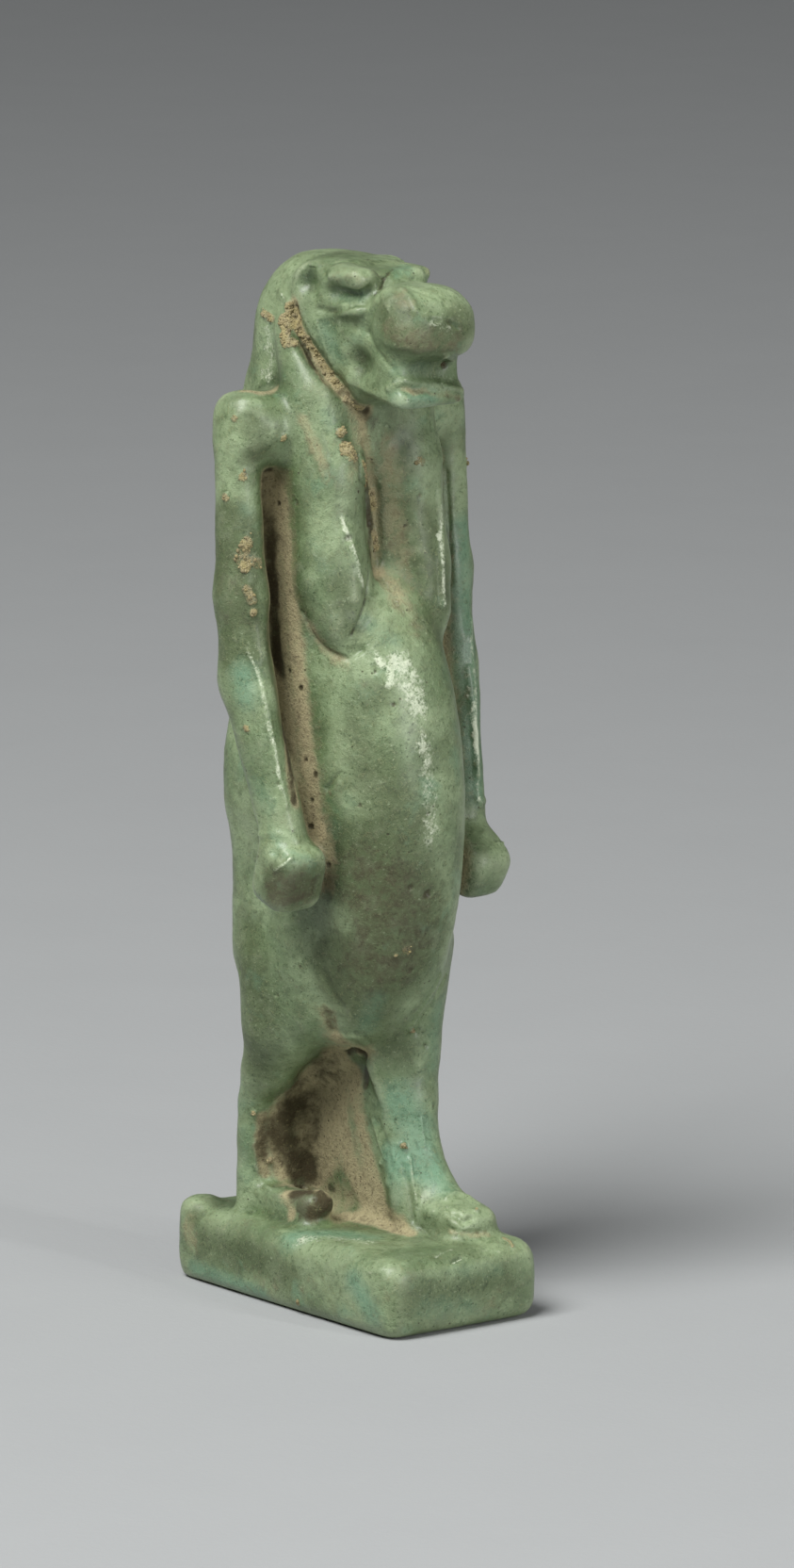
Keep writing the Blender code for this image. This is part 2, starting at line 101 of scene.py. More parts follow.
# What raises or sinks the skin.
SHAPING = {
    # The head.
    "near lid": Mark(0.42, 0.10, [(351, 293), (362, 292), (374, 292)], BOTH),
    "end of the near lid": Mark(0.40, -0.10, [(389, 289)], BOTH),
    "above the near lid": Mark(0.36, -0.05, [(350, 282), (358, 278), (376, 278), (389, 283)]),
    "under the near lid": Mark(0.46, -0.14, UNDER_LID),
    "under the far lid": Mark(0.60, -0.08, UNDER_LID, FAR),
    "cheek shelf crease": Mark(
        0.26, -0.10,
        [(339, 328), (351, 331), (361, 329), (371, 326), (388, 323)],
        BOTH,
    ),
    "cheek shelf edge": Mark(0.42, 0.07, [(342, 335), (356, 336), (370, 332), (383, 329)], BOTH),
    "ridge before the ear": Mark(0.25, 0.04, [(342, 300), (340, 318), (337, 327)], BOTH),
    "ear hollow": Mark(0.75, -0.22, [(328, 288), (327, 300)]),
    "hollow of the far ear": Mark(0.70, -0.10, [(327, 298)], FAR),
    "ear rim": Mark(0.40, -0.10, [(330, 281), (338, 283), (345, 291)]),
    "far ear": Mark(1.10, -0.26, [(318, 284), (326, 280), (336, 284)], FAR),
    "rim below the ear": Mark(0.45, 0.09, [(299, 310), (304, 318), (309, 326)]),
    "throat of the groove": Mark(0.45, -0.30, [(312, 326), (315, 340)]),
    "cheek edge": Mark(0.25, 0.10, [(337, 342), (346, 367), (357, 394)], BOTH),
    "wig edge at the groove": Mark(0.35, 0.08, [(300, 337), (318, 368), (338, 400)], BOTH),
    "cheek dimple": Mark(1.00, -0.16, [(381, 375), (386, 387)], BOTH),
    "cheek fold": Mark(0.24, -0.09, [(390, 353), (398, 369), (418, 392)], BOTH),
    "back of the muzzle": Mark(0.35, -0.10, [(412, 300), (402, 320), (393, 338), (391, 352)], BOTH),
    "nostril ridge": Mark(0.34, 0.12, [(426, 308), (434, 315), (441, 329)]),
    "nostril": Mark(0.60, -0.09, [(420, 322), (427, 334)]),
    "crease over the muzzle": Mark(0.15, -0.09, [(433, 305), (442, 308), (451, 312), (466, 318)]),
    "top edge of the muzzle": Mark(0.30, 0.06, [(414, 301), (434, 299), (460, 304), (482, 312)]),
    "hollow in front of the nostril": Mark(0.50, -0.10, [(452, 324), (462, 329)]),
    "hollow behind the nostril": Mark(0.50, -0.08, [(406, 330), (404, 344)]),
    "lower edge of the muzzle": Mark(0.35, 0.06, [(410, 365), (430, 369), (455, 370), (480, 369)]),
    "chip on the muzzle": Mark(0.20, -0.12, [(458, 338), (466, 341)]),
    "second chip": Mark(0.17, -0.12, [(476, 341), (487, 348)]),
    "pit on the muzzle": Mark(0.24, -0.12, [(473, 323)]),
    "upper lip": Mark(0.36, 0.13, [(413, 412), (427, 405), (447, 407), (467, 408), (489, 414)]),
    "between the muzzle and the lip": Mark(0.60, -0.08, [(430, 389), (455, 392), (466, 394)]),
    "lip line": Mark(0.26, -0.05, [(428, 413), (450, 416), (470, 418), (486, 421)]),
    "hole in the mouth": Mark(0.24, -0.34, [(472, 387)]),
    "rim of the hole": Mark(0.24, 0.15, [(465, 381), (473, 377), (480, 381)]),
    "jaw line": Mark(0.30, 0.06, [(370, 404), (386, 413), (400, 419)]),
    "near brow crack": Mark(0.10, -0.07, NEAR_BROW_CRACK),
    "far brow crack": Mark(0.10, -0.07, FAR_BROW_CRACK),
    "stem of the brow crack": Mark(0.10, -0.07, BROW_CRACK_STEM),
    "far lid": Mark(0.50, 0.05, [(425, 287), (436, 287), (445, 290)]),
    # The chest.
    "furrow": Mark(
        0.40, -0.20,
        [(388, 470), (394, 500), (398, 530), (400, 560), (399, 590), (401, 612)],
    ),
    "near breast edge": Mark(
        0.15, -0.16,
        [(381, 482), (382, 508), (389, 522), (392, 556), (391, 598), (390, 628), (384, 650), (373, 674)],
    ),
    "near breast swell": Mark(0.80, 0.14, [(370, 570), (378, 600), (378, 632)]),
    "near breast streak": Mark(0.22, 0.07, [(364, 552), (370, 574), (377, 595), (384, 622)]),
    "near breast outline": Mark(
        0.24, -0.15, [(322, 650), (331, 672), (344, 688), (356, 695), (370, 699), (384, 690)]
    ),
    "near breast fullness": Mark(0.90, 0.12, [(350, 640), (360, 672)]),
    "hollow under the breast": Mark(0.30, -0.12, [(372, 691), (383, 687)]),
    "ridge on the near lappet": Mark(0.30, 0.08, [(322, 446), (334, 476), (343, 504)], BOTH),
    "dip beside that ridge": Mark(0.35, -0.07, [(346, 462), (354, 490)], BOTH),
    "upper lump": Mark(0.42, 0.24, UPPER_LUMP),
    "lower lump": Mark(0.50, 0.30, [(367, 475), (371, 485)]),
    "first lock of the far lappet": Mark(0.12, 0.05, [(456, 434), (458, 470)]),
    "second lock of the far lappet": Mark(0.12, 0.05, [(464, 434), (466, 470)]),
    "between those locks": Mark(0.10, -0.04, [(460, 434), (462, 472)]),
    "far breast ridge": Mark(0.35, 0.15, [(466, 520), (469, 560), (469, 600), (471, 640)]),
    "far breast hollow": Mark(0.90, -0.14, [(420, 540), (425, 580), (437, 620)]),
    "far breast lower edge": Mark(0.40, -0.09, [(405, 608), (425, 640), (441, 664), (455, 680)]),
    "cut beside the far breast": Mark(0.22, -0.10, [(474, 500), (477, 560), (479, 620)]),
    # The arms and fists.
    "near arm ridge": Mark(
        0.30, 0.10,
        [(263, 690), (272, 710), (279, 735), (285, 765), (291, 795), (298, 830), (304, 856)],
        BOTH,
    ),
    "crest of the near shoulder": Mark(0.40, 0.08, [(240, 432), (258, 424), (276, 428)], BOTH),
    "dent in the near shoulder": Mark(0.45, -0.07, [(266, 444)], BOTH),
    "dent under the near shoulder": Mark(0.90, -0.08, [(264, 488)]),
    "far arm ridge": Mark(0.28, 0.10, [(497, 708), (500, 740), (504, 780), (507, 820), (507, 848)]),
    "top of the near fist": Mark(0.30, 0.08, [(276, 886), (296, 885), (316, 893)], BOTH),
    "knuckle hollow": Mark(0.42, -0.13, [(290, 905), (300, 911)], BOTH),
    "knuckle edge": Mark(0.20, 0.13, [(292, 923), (300, 918), (309, 911)], BOTH),
    "side of the near fist": Mark(0.20, -0.06, [(330, 902), (335, 925), (334, 945)]),
    # The belly and the thighs.
    "crease in the flank": Mark(0.14, -0.12, [(347, 838), (353, 828), (361, 820)]),
    "lip of that crease": Mark(0.22, 0.06, [(353, 840), (360, 830)]),
    "near groin": Mark(0.35, -0.10, [(344, 1033), (352, 1050), (362, 1068)]),
    "far groin lip": Mark(0.22, 0.12, [(467, 1034), (459, 1050), (449, 1066), (439, 1086)]),
    "far groin": Mark(0.26, -0.13, [(473, 1036), (464, 1054), (453, 1074), (442, 1096)]),
    "pocket above the recess": Mark(0.50, -0.16, [(349, 1078), (354, 1094)]),
    "arch over the recess": Mark(0.35, 0.08, [(364, 1100), (380, 1101), (394, 1113)]),
    # The legs and the feet.
    "rim of the recess": Mark(
        0.28, -0.20,
        [(367, 1118), (376, 1113), (386, 1118), (389, 1132), (388, 1150)],
    ),
    "top of the recess": Mark(0.28, -0.10, [(292, 1168), (315, 1152), (340, 1136), (356, 1124)]),
    "near edge of the shin": Mark(0.20, 0.10, [(396, 1188), (403, 1212), (409, 1230)]),
    "lump on the shin": Mark(0.28, 0.14, [(405, 1234)]),
    "lower lump on the shin": Mark(0.40, 0.10, [(411, 1256)]),
    "flute down the shin": Mark(0.22, -0.08, [(402, 1190), (412, 1216), (416, 1240)]),
    "front edge of the shin": Mark(0.22, 0.12, [(435, 1230), (437, 1246), (440, 1262), (443, 1276)]),
    "cut beside that edge": Mark(0.14, -0.10, [(428, 1236), (434, 1262), (439, 1296)]),
    "glint on the shin": Mark(0.16, 0.07, [(447, 1188), (449, 1202), (451, 1215)]),
    "front edge of the rear leg": Mark(0.20, 0.10, [(270, 1212), (271, 1235), (276, 1252), (286, 1261)]),
    "edge of the rear foot": Mark(0.20, 0.08, [(288, 1262), (302, 1261), (318, 1258)]),
    "first toe": Mark(0.28, 0.20, [(325, 1262)]),
    "second toe": Mark(0.26, 0.18, [(341, 1266)]),
    "between the toes": Mark(0.12, -0.12, [(333, 1256), (334, 1274)]),
    "arc of the paw": Mark(0.22, 0.12, [(474, 1272), (484, 1266), (497, 1270), (508, 1278)]),
    "hollow of the paw": Mark(0.32, -0.20, [(482, 1289), (492, 1297), (501, 1293)]),
    "claw": Mark(0.22, 0.16, [(506, 1285)]),
    "notch in the paw": Mark(0.14, -0.10, [(475, 1281), (477, 1291)]),
    "front line of the paw": Mark(0.18, -0.09, [(480, 1305), (495, 1308), (510, 1308)]),
    "side of the paw": Mark(0.40, 0.08, [(456, 1287)]),
    "root of the paw": Mark(0.18, -0.10, [(446, 1302), (458, 1313), (470, 1318)]),
    # Grit fused to the glaze.
    "grit on the rear leg": Mark(0.18, 0.18, REAR_LEG_GRIT),
    "grit in the recess": Mark(0.22, 0.20, RECESS_GRIT),
    "grit on the shin": Mark(0.22, 0.22, SHIN_GRIT),
    "grit at the groin": Mark(0.20, 0.14, [(436, 1092)]),
    # The base.
    "nick in the base": Mark(0.22, -0.12, [(480, 1340), (490, 1335)]),
    "crest of the base": Mark(
        0.30, 0.06,
        [(380, 1346), (402, 1349), (440, 1338), (475, 1328), (510, 1325)],
    ),
    "hollow down the corner": Mark(0.42, -0.07, [(408, 1366), (410, 1388), (414, 1408)]),
    "first brush stroke": Mark(0.10, -0.05, [(300, 1314), (318, 1306), (335, 1303)]),
    "second brush stroke": Mark(0.10, 0.05, [(318, 1316), (332, 1309), (350, 1306)]),
    "third brush stroke": Mark(0.12, -0.05, [(340, 1334), (352, 1326), (368, 1318)]),
    "fourth brush stroke": Mark(0.10, 0.04, [(330, 1326), (350, 1316), (380, 1311)]),
    "fifth brush stroke": Mark(0.10, -0.04, [(390, 1318), (420, 1326), (450, 1322)]),
    "sixth brush stroke": Mark(0.12, -0.04, [(305, 1334), (318, 1322), (334, 1314)]),
}

# Glaze rubbed through to the white paste, and painted highlights: many of these marks lie where the
# glaze catches the lights, on the breast streaks, the belly patch and speckle, the arm ridges, the lip,
# the muzzle and the crests and top edge of the base.
WORN_AND_GLINTS = {
    "near breast streak": Mark(
        0.34, 1.0,
        [(363, 550), (366, 562), (372, 580), (378, 597), (380, 610), (385, 622)],
    ),
    "far breast streak": Mark(
        0.32, 1.0,
        [(467, 537), (468, 560), (466, 568), (469, 595), (470, 625), (471, 642)],
    ),
    "branch of that streak": Mark(0.24, 0.7, [(449, 558), (458, 565), (465, 570)]),
    "left edge of the belly patch": Mark(0.42, 0.65, [(390, 681), (405, 706), (414, 716), (412, 728)]),
    "belly patch": Mark(1.70, 0.95, [(424, 702), (436, 726), (444, 750)]),
    "belly speckle": Mark(1.50, 0.75, [(450, 790), (455, 830), (458, 880)]),
    "below the furrow": Mark(0.60, 0.60, [(402, 600), (418, 634), (436, 662)]),
    "low belly speckle": Mark(1.60, 0.45, [(452, 910), (448, 960)]),
    "near arm ridge": Mark(
        0.34, 0.78,
        [
            (263, 692), (269, 703), (275, 716), (278, 730), (281, 750), (285, 770), (290, 790),
            (294, 812), (298, 838),
        ],
        BOTH,
    ),
    "far arm ridge": Mark(0.34, 0.65, [(494, 704), (498, 740), (503, 780), (507, 848)]),
    "knuckle edge": Mark(0.20, 0.9, [(294, 923), (300, 918), (307, 912)]),
    "top of the near fist": Mark(0.50, 0.50, [(285, 890), (305, 888)], BOTH),
    "far lappet": Mark(0.35, 0.50, [(460, 440), (461, 470), (455, 479)]),
    "far groin lip": Mark(0.14, 0.8, [(466, 1036), (460, 1048), (452, 1062), (446, 1076)]),
    "muzzle chips": Mark(0.40, 0.45, [(458, 343), (470, 347), (485, 352)]),
    "hip": Mark(2.00, 0.42, [(262, 1010), (300, 1000)]),
    "muzzle": Mark(1.30, 0.40, [(445, 330), (470, 338)]),
    "upper lip": Mark(0.24, 0.8, [(424, 404), (432, 403)]),
    "lip glint": Mark(0.20, 0.9, [(467, 407), (470, 410)]),
    "cheek shelf": Mark(0.20, 0.50, [(345, 334), (358, 335)], BOTH),
    "rim below the ear": Mark(0.20, 0.8, [(300, 311), (304, 319)]),
    "wig at the shoulder": Mark(0.80, 0.45, [(270, 396), (285, 402)]),
    "shoulder": Mark(0.70, 0.45, [(246, 430), (258, 428)], BOTH),
    "flank": Mark(0.60, 0.34, [(352, 750), (348, 780)]),
    "front edge of the shin": Mark(0.20, 0.7, [(435, 1232), (438, 1250), (441, 1268)]),
    "lump on the shin": Mark(0.16, 0.7, [(400, 1214), (405, 1224)]),
    "front edge of the rear leg": Mark(0.14, 0.6, [(271, 1225), (275, 1248), (282, 1258)]),
    "first toe": Mark(0.14, 0.9, [(320, 1258)]),
    "notch in the paw": Mark(0.16, 0.8, [(474, 1282)]),
    "front of the paw": Mark(0.15, 0.8, [(490, 1304), (505, 1302)]),
    "arc of the paw": Mark(0.30, 0.45, [(485, 1268), (502, 1274)]),
    "side of the paw": Mark(0.20, 0.6, [(463, 1284), (455, 1292)]),
    "near corner of the base": Mark(0.34, 0.6, [(392, 1350), (408, 1347)]),
    "side of the wig": Mark(1.90, 0.68, [(284, 350), (288, 380)]),
    "top edge of the base": Mark(1.80, 0.70, [(318, 1316), (350, 1313), (390, 1318)]),
    "crest of the base": Mark(0.24, 0.7, [(462, 1334), (480, 1327)]),
    "front crest of the base": Mark(0.28, 0.7, [(490, 1326), (510, 1327), (530, 1328)]),
    "nick in the base": Mark(0.14, 0.8, [(480, 1341), (490, 1336)]),
    "scratches under the arm": Mark(0.14, 0.5, [(310, 486), (316, 500)]),
}

# Dried soil that stands on the skin.
CRUSTED = {
    "top of the groove": Mark(0.46, 0.85, [(308, 326), (312, 340), (320, 352)]),
    "groove": Mark(0.46, 0.68, [(326, 360), (337, 373), (347, 390), (357, 408)], BOTH),
    "beside the groove": Mark(0.42, 0.75, [(300, 338), (304, 350), (302, 364), (312, 364)]),
    "side of the wig": Mark(0.34, 0.7, [(280, 332), (290, 338)]),
    "upper lump": Mark(0.42, 1.0, UPPER_LUMP),
    "lower lump": Mark(0.56, 1.0, [(366, 476), (374, 484)]),
    "armpit": Mark(0.30, 0.8, [(301, 465)]),
    "shoulder": Mark(0.34, 0.6, [(249, 444)]),
    "upper arm": Mark(0.40, 0.7, [(258, 506)]),
    "edge of the upper arm": Mark(0.36, 0.7, [(240, 528)]),
    "elbow": Mark(0.55, 0.9, [(262, 577)]),
    "below the elbow": Mark(0.60, 0.55, [(255, 592), (274, 597)]),
    "second patch on the forearm": Mark(0.40, 0.9, [(260, 603)]),
    "third patch on the forearm": Mark(0.42, 0.6, [(262, 625), (268, 638)]),
    "fourth patch on the forearm": Mark(0.34, 0.85, [(269, 650)]),
    "fifth patch on the forearm": Mark(0.34, 0.75, [(262, 773)]),
    "top of the furrow": Mark(0.34, 0.8, [(385, 492), (388, 510)]),
    "middle of the furrow": Mark(0.30, 0.7, [(395, 522), (397, 540)]),
    "foot of the furrow": Mark(0.25, 0.7, [(397, 565), (400, 582)]),
    "under the jaw": Mark(0.30, 0.8, [(368, 424), (384, 432)]),
    "far lappet": Mark(0.50, 0.55, [(446, 489)]),
    "far arm": Mark(0.24, 0.8, [(495, 491)]),
    "belly spot": Mark(0.60, 0.45, [(432, 1008)]),
    "edge of the belly spot": Mark(0.16, 0.9, [(420, 1014)]),
    "grit on the rear leg": Mark(0.20, 1.0, REAR_LEG_GRIT),
    "grit in the recess": Mark(0.24, 1.0, RECESS_GRIT),
    "grit on the shin": Mark(0.25, 1.0, SHIN_GRIT),
    "grit at the groin": Mark(0.22, 0.9, [(437, 1093)]),
    "claw": Mark(0.14, 1.0, [(505, 1285)]),
    "far edge of the base": Mark(0.25, 0.6, [(535, 1314), (544, 1322)]),
    "foot of the base": Mark(0.24, 0.7, [(317, 1383)]),
}

# A film of soil.
SOILED = {
    "flank under the arm": Mark(
        1.10, 0.9,
        [(298, 520), (305, 600), (312, 680), (320, 760), (330, 830), (335, 880)],
        BOTH,
    ),
    "gap under the arm": Mark(0.80, 1.0, [(284, 500), (288, 600), (295, 720), (305, 800), (314, 850)]),
    "furrow": Mark(
        0.55, 0.62,
        [(386, 445), (391, 480), (395, 530), (397, 580), (401, 605)],
    ),
    "below the furrow": Mark(0.90, 0.50, [(406, 612), (422, 642), (442, 670)]),
    "near lappet beside the furrow": Mark(0.80, 0.55, [(376, 440), (380, 470), (372, 505)]),
    "ridge on the near lappet": Mark(0.60, 0.55, [(322, 446), (336, 478), (346, 508)]),
    "far side of the furrow": Mark(1.20, 0.45, [(412, 470), (416, 540), (424, 600), (440, 640)]),
    "under the jaw": Mark(0.70, 0.9, [(362, 414), (374, 426), (390, 436)]),
    "under the near breast": Mark(0.70, 0.55, [(330, 665), (345, 690), (365, 705)]),
    "rear of the recess": Mark(1.30, 1.1, [(312, 1166), (298, 1184), (296, 1210), (304, 1240)]),
    "inner edge of the rear leg": Mark(0.50, 0.9, INSIDE_REAR_LEG),
    "corner of the recess": Mark(1.40, 1.1, [(338, 1150), (330, 1180), (328, 1215), (336, 1248)]),
    "wall of the recess": Mark(
        1.40, 1.0,
        [(362, 1132), (360, 1165), (362, 1200), (374, 1240), (392, 1275)],
    ),
    "front of that wall": Mark(1.00, 0.8, [(378, 1140), (380, 1180), (390, 1225), (404, 1268)]),
    "middle of that wall": Mark(1.30, 1.0, [(346, 1146), (343, 1190), (350, 1232)]),
    "arch of the recess": Mark(1.20, 0.9, [(330, 1148), (350, 1128), (366, 1108), (382, 1114)]),
    "pocket above the recess": Mark(1.00, 0.8, [(346, 1074), (355, 1098)]),
    "foot of the recess": Mark(0.80, 0.8, [(398, 1280), (425, 1298)]),
    "floor of the recess": Mark(0.65, 1.0, [(310, 1288), (360, 1290), (410, 1302), (436, 1310)]),
    "rear foot": Mark(0.95, 1.1, [(306, 1268), (325, 1264), (343, 1266), (345, 1276), (335, 1284)]),
    "groove": Mark(0.60, 0.9, [(312, 322), (316, 345), (335, 375), (355, 408)], BOTH),
    "crease above the shoulder": Mark(0.60, 0.8, [(260, 415), (275, 417), (292, 414)], BOTH),
    "muzzle": Mark(1.20, 0.52, [(412, 350), (430, 357), (450, 362), (480, 364)]),
    "near lid": Mark(0.50, 0.40, [(358, 293), (378, 292)], BOTH),
    "nostril": Mark(0.60, 0.50, [(427, 308), (424, 322), (436, 322)]),
    "lips": Mark(
        0.36, 0.6,
        [(428, 412), (440, 417), (452, 414), (464, 420), (474, 417), (488, 424)],
    ),
    "hole in the mouth": Mark(0.24, 1.0, HOLE_IN_MOUTH),
    "behind the near fist": Mark(0.60, 0.5, [(342, 880), (350, 918), (352, 945)]),
    "under the near fist": Mark(0.70, 0.4, [(300, 948), (322, 955)]),
    "front of the paw": Mark(0.34, 0.6, [(478, 1307), (500, 1311), (518, 1310)]),
    "side of the base": Mark(0.90, 0.40, [(262, 1345), (290, 1370)]),
    "rear end of the base": Mark(1.00, 0.75, [(199, 1298), (204, 1318)]),
    "middle of the base": Mark(0.70, 0.35, [(312, 1365), (345, 1360)]),
    "front of the base": Mark(0.80, 0.40, [(528, 1370), (520, 1388)]),
    "corner of the base": Mark(0.45, 0.35, [(410, 1370), (414, 1400)]),
}

# Dark soil and stains, and painted shade: the dark band in the gap under the arm, the rear and corners
# of the recess, under the breast and the near fist, in the ear and the cheek dimple, and over the lower
# belly.
DARKENED = {
    "near brow crack": Mark(0.10, 0.9, NEAR_BROW_CRACK),
    "far brow crack": Mark(0.10, 0.9, FAR_BROW_CRACK),
    "stem of the brow crack": Mark(0.10, 0.8, BROW_CRACK_STEM),
    "cheek shelf crease": Mark(0.12, 0.5, [(340, 329), (350, 332), (362, 331), (376, 327)]),
    "near breast edge": Mark(0.12, 0.8, [(391, 598), (390, 628), (384, 650), (373, 674)]),
    "upper near breast edge": Mark(
        0.12, 0.6,
        [(381, 482), (382, 508), (389, 522), (392, 556), (391, 598)],
    ),
    "rim of the recess": Mark(
        0.36, 1.0,
        [(368, 1118), (378, 1114), (387, 1121), (389, 1138), (388, 1153)],
    ),
    "rear of the recess": Mark(1.50, 0.85, [(306, 1180), (298, 1200), (308, 1225), (320, 1242)]),
    "behind the toes": Mark(0.50, 0.8, [(325, 1230), (330, 1245)]),
    "ear": Mark(0.60, 0.35, [(328, 293)], BOTH),
    "cheek dimple": Mark(0.75, 0.45, [(384, 382)], BOTH),
    "toes": Mark(
        0.90, 1.2,
        [(316, 1266), (325, 1270), (323, 1284), (340, 1285), (340, 1272), (346, 1280)],
    ),
    "near elbow": Mark(1.60, 0.35, [(243, 580), (248, 650)]),
    "muzzle": Mark(1.60, 0.45, [(420, 350), (448, 360), (478, 360)]),
    "near fist": Mark(1.80, 0.95, [(316, 945), (298, 945)]),
    "lower belly": Mark(3.80, 0.80, [(400, 940), (424, 985), (404, 1020)]),
    "far side of the furrow": Mark(1.30, 0.22, [(412, 470), (418, 520), (424, 585)]),
    "inner edge of the rear leg": Mark(0.60, 0.6, INSIDE_REAR_LEG),
    "corner of the recess": Mark(0.80, 0.5, [(328, 1165), (332, 1205)]),
    "upper corner of the recess": Mark(1.60, 0.45, [(326, 1150), (348, 1126)]),
    "pocket above the recess": Mark(0.60, 0.55, [(347, 1074), (352, 1090)]),
    "top of the groove": Mark(0.40, 0.9, [(313, 328), (314, 343)]),
    "before the toes": Mark(0.36, 0.9, [(351, 1260), (349, 1280)]),
    "gap under the arm": Mark(0.50, 0.9, [(284, 498), (288, 600), (294, 700), (302, 780), (312, 850)]),
    "under the breast": Mark(0.36, 0.5, [(374, 691)]),
    "top of the furrow": Mark(0.50, 0.6, [(393, 450), (398, 470)]),
    "line down the furrow": Mark(0.24, 0.9, [(384, 480), (391, 520), (394, 556), (393, 590)]),
    "under the jaw": Mark(0.50, 0.5, [(384, 436), (398, 444)]),
    "hole in the mouth": Mark(0.26, 2.0, HOLE_IN_MOUTH),
    "edge of the soil under the jaw": Mark(0.40, 0.7, [(364, 416), (376, 426), (388, 434)]),
    "beside the groove": Mark(0.30, 1.5, [(317, 350), (325, 372), (332, 391)]),
    "lips": Mark(0.24, 0.6, [(441, 416), (456, 417)]),
    "end of the lips": Mark(0.20, 0.6, [(476, 421), (487, 424)]),
    "hollow of the paw": Mark(0.26, 0.3, [(484, 1290), (494, 1296)]),
    "notch in the crown": Mark(0.12, 0.7, [(361, 267), (368, 266)]),
}

# Thick turquoise glaze.
BLUED = {
    "shin": Mark(2.4, 0.9, [(425, 1170), (445, 1200), (442, 1225)]),
    "instep": Mark(1.6, 0.8, [(455, 1240), (470, 1258)]),
    "inside of the shin": Mark(1.2, 0.7, [(412, 1225), (420, 1270)]),
    "near forearm": Mark(1.6, 0.8, [(258, 715), (262, 740)]),
    "near wrist": Mark(1.4, 0.5, [(268, 830), (285, 856)]),
    "near upper arm": Mark(1.2, 0.5, [(262, 540)]),
    "top edge of the base": Mark(1.9, 0.9, [(312, 1313), (350, 1309), (390, 1313)]),
    "foot of the base": Mark(1.1, 0.9, [(206, 1346), (240, 1360), (280, 1374)]),
    "near corner of the base": Mark(1.6, 0.9, [(376, 1362), (395, 1395)]),
    "front of the base": Mark(1.6, 0.5, [(450, 1388), (500, 1388)]),
    "far front of the base": Mark(1.0, 0.4, [(480, 1348), (530, 1348)]),
    "far arm": Mark(1.6, 0.9, [(490, 560), (496, 700), (503, 840)]),
    "far thigh": Mark(1.5, 0.6, [(466, 1070), (460, 1130)]),
    "under the near eye": Mark(1.0, 0.6, [(360, 312), (385, 312)], BOTH),
    "cheek": Mark(1.2, 0.6, [(346, 350), (360, 378)], BOTH),
    "jaw": Mark(1.4, 0.8, [(420, 429), (456, 424)]),
    "mouth": Mark(1.0, 0.5, [(450, 388), (420, 392)]),
    "ear": Mark(0.8, 0.5, [(326, 296)], BOTH),
    "side of the wig": Mark(1.6, 0.35, [(285, 350), (278, 372)], BOTH),
    "near lappet": Mark(1.2, 0.5, [(346, 440), (354, 450)]),
    "near breast": Mark(1.2, 0.4, [(335, 575), (345, 602)]),
    "top of the belly": Mark(1.2, 0.5, [(388, 660), (418, 680)]),
    "foot of the belly": Mark(1.4, 0.6, [(400, 1060), (390, 1090)]),
    "flank": Mark(1.2, 0.4, [(370, 850)]),
    "near knuckles": Mark(0.6, 0.6, [(290, 905)]),
    "ankle": Mark(1.2, 0.5, [(258, 1200), (260, 1250)]),
}

# Glaze stained olive by the ground; over the lower belly and round the near fist this olive is also
# painted shade.
OLIVED = {
    "belly": Mark(3.0, 1.0, [(396, 820), (428, 870), (400, 900)]),
    "upper belly": Mark(2.0, 0.8, [(378, 762), (398, 742)]),
    "lower belly": Mark(4.2, 1.75, [(392, 930), (426, 960), (434, 1000), (396, 1030)]),
    "near breast": Mark(1.9, 0.9, [(362, 620), (370, 660)]),
    "far breast": Mark(2.2, 0.9, [(452, 560), (458, 600), (462, 640), (456, 668)]),
    "near fist": Mark(2.0, 1.8, [(320, 940), (296, 940)]),
    "near elbow": Mark(2.4, 1.8, [(243, 560), (247, 640), (252, 690)]),
    "near shoulder": Mark(1.5, 0.9, [(270, 450), (272, 480)]),
    "side of the base": Mark(2.2, 0.95, [(216, 1318), (270, 1335), (310, 1358)]),
    "rear corner of the base": Mark(1.0, 0.9, [(204, 1290)]),
    "front of the base": Mark(2.2, 0.8, [(430, 1380), (480, 1375), (530, 1360)]),
    "near hip": Mark(3.0, 1.0, [(262, 1000), (276, 1070), (270, 1130)]),
    "flank beside the fist": Mark(1.6, 0.9, [(344, 880), (350, 930)]),
    "thigh": Mark(2.4, 0.9, [(420, 1110), (350, 1020)]),
    "muzzle": Mark(2.0, 1.5, [(415, 330), (430, 352), (470, 360), (490, 345)]),
    "crown": Mark(1.0, 0.6, [(312, 272), (340, 268)]),
    "brow": Mark(0.8, 0.5, [(380, 267), (418, 272)]),
    "far furrow side": Mark(2.0, 1.1, [(420, 470), (420, 520), (428, 580)]),
}

# Pits in the glaze: the place in the photograph, and the radius in millimetres. A pit's mark
# reaches past its rim, and a pit is a share of its radius deep.
Pit = namedtuple("Pit", "pixel radius")
PITS = [
    Pit((314, 534), 0.16), Pit((369, 572), 0.22), Pit((398, 713), 0.12), Pit((319, 730), 0.14),
    Pit((296, 534), 0.10), Pit((335, 822), 0.15), Pit((331, 849), 0.12), Pit((330, 877), 0.15),
    Pit((325, 806), 0.10), Pit((382, 855), 0.11), Pit((455, 864), 0.13), Pit((436, 942), 0.14),
    Pit((454, 949), 0.20), Pit((254, 1031), 0.16), Pit((349, 918), 0.12), Pit((307, 712), 0.12),
    Pit((436, 1030), 0.12), Pit((294, 1056), 0.12), Pit((461, 1174), 0.10), Pit((452, 1110), 0.18),
    Pit((342, 1380), 0.11), Pit((498, 1370), 0.10), Pit((530, 1388), 0.12), Pit((418, 748), 0.12),
    Pit((295, 832), 0.12), Pit((430, 558), 0.08), Pit((446, 526), 0.08), Pit((318, 1026), 0.09),
]
PIT_REACH = 1.5
PIT_DEPTH = 0.9


def pit_marks(strength):
    """A mark for each pit, with the strength that the function gives it."""
    return {
        f"pit {number}": Mark(PIT_REACH * pit.radius, strength(pit), [pit.pixel])
        for number, pit in enumerate(PITS)
    }


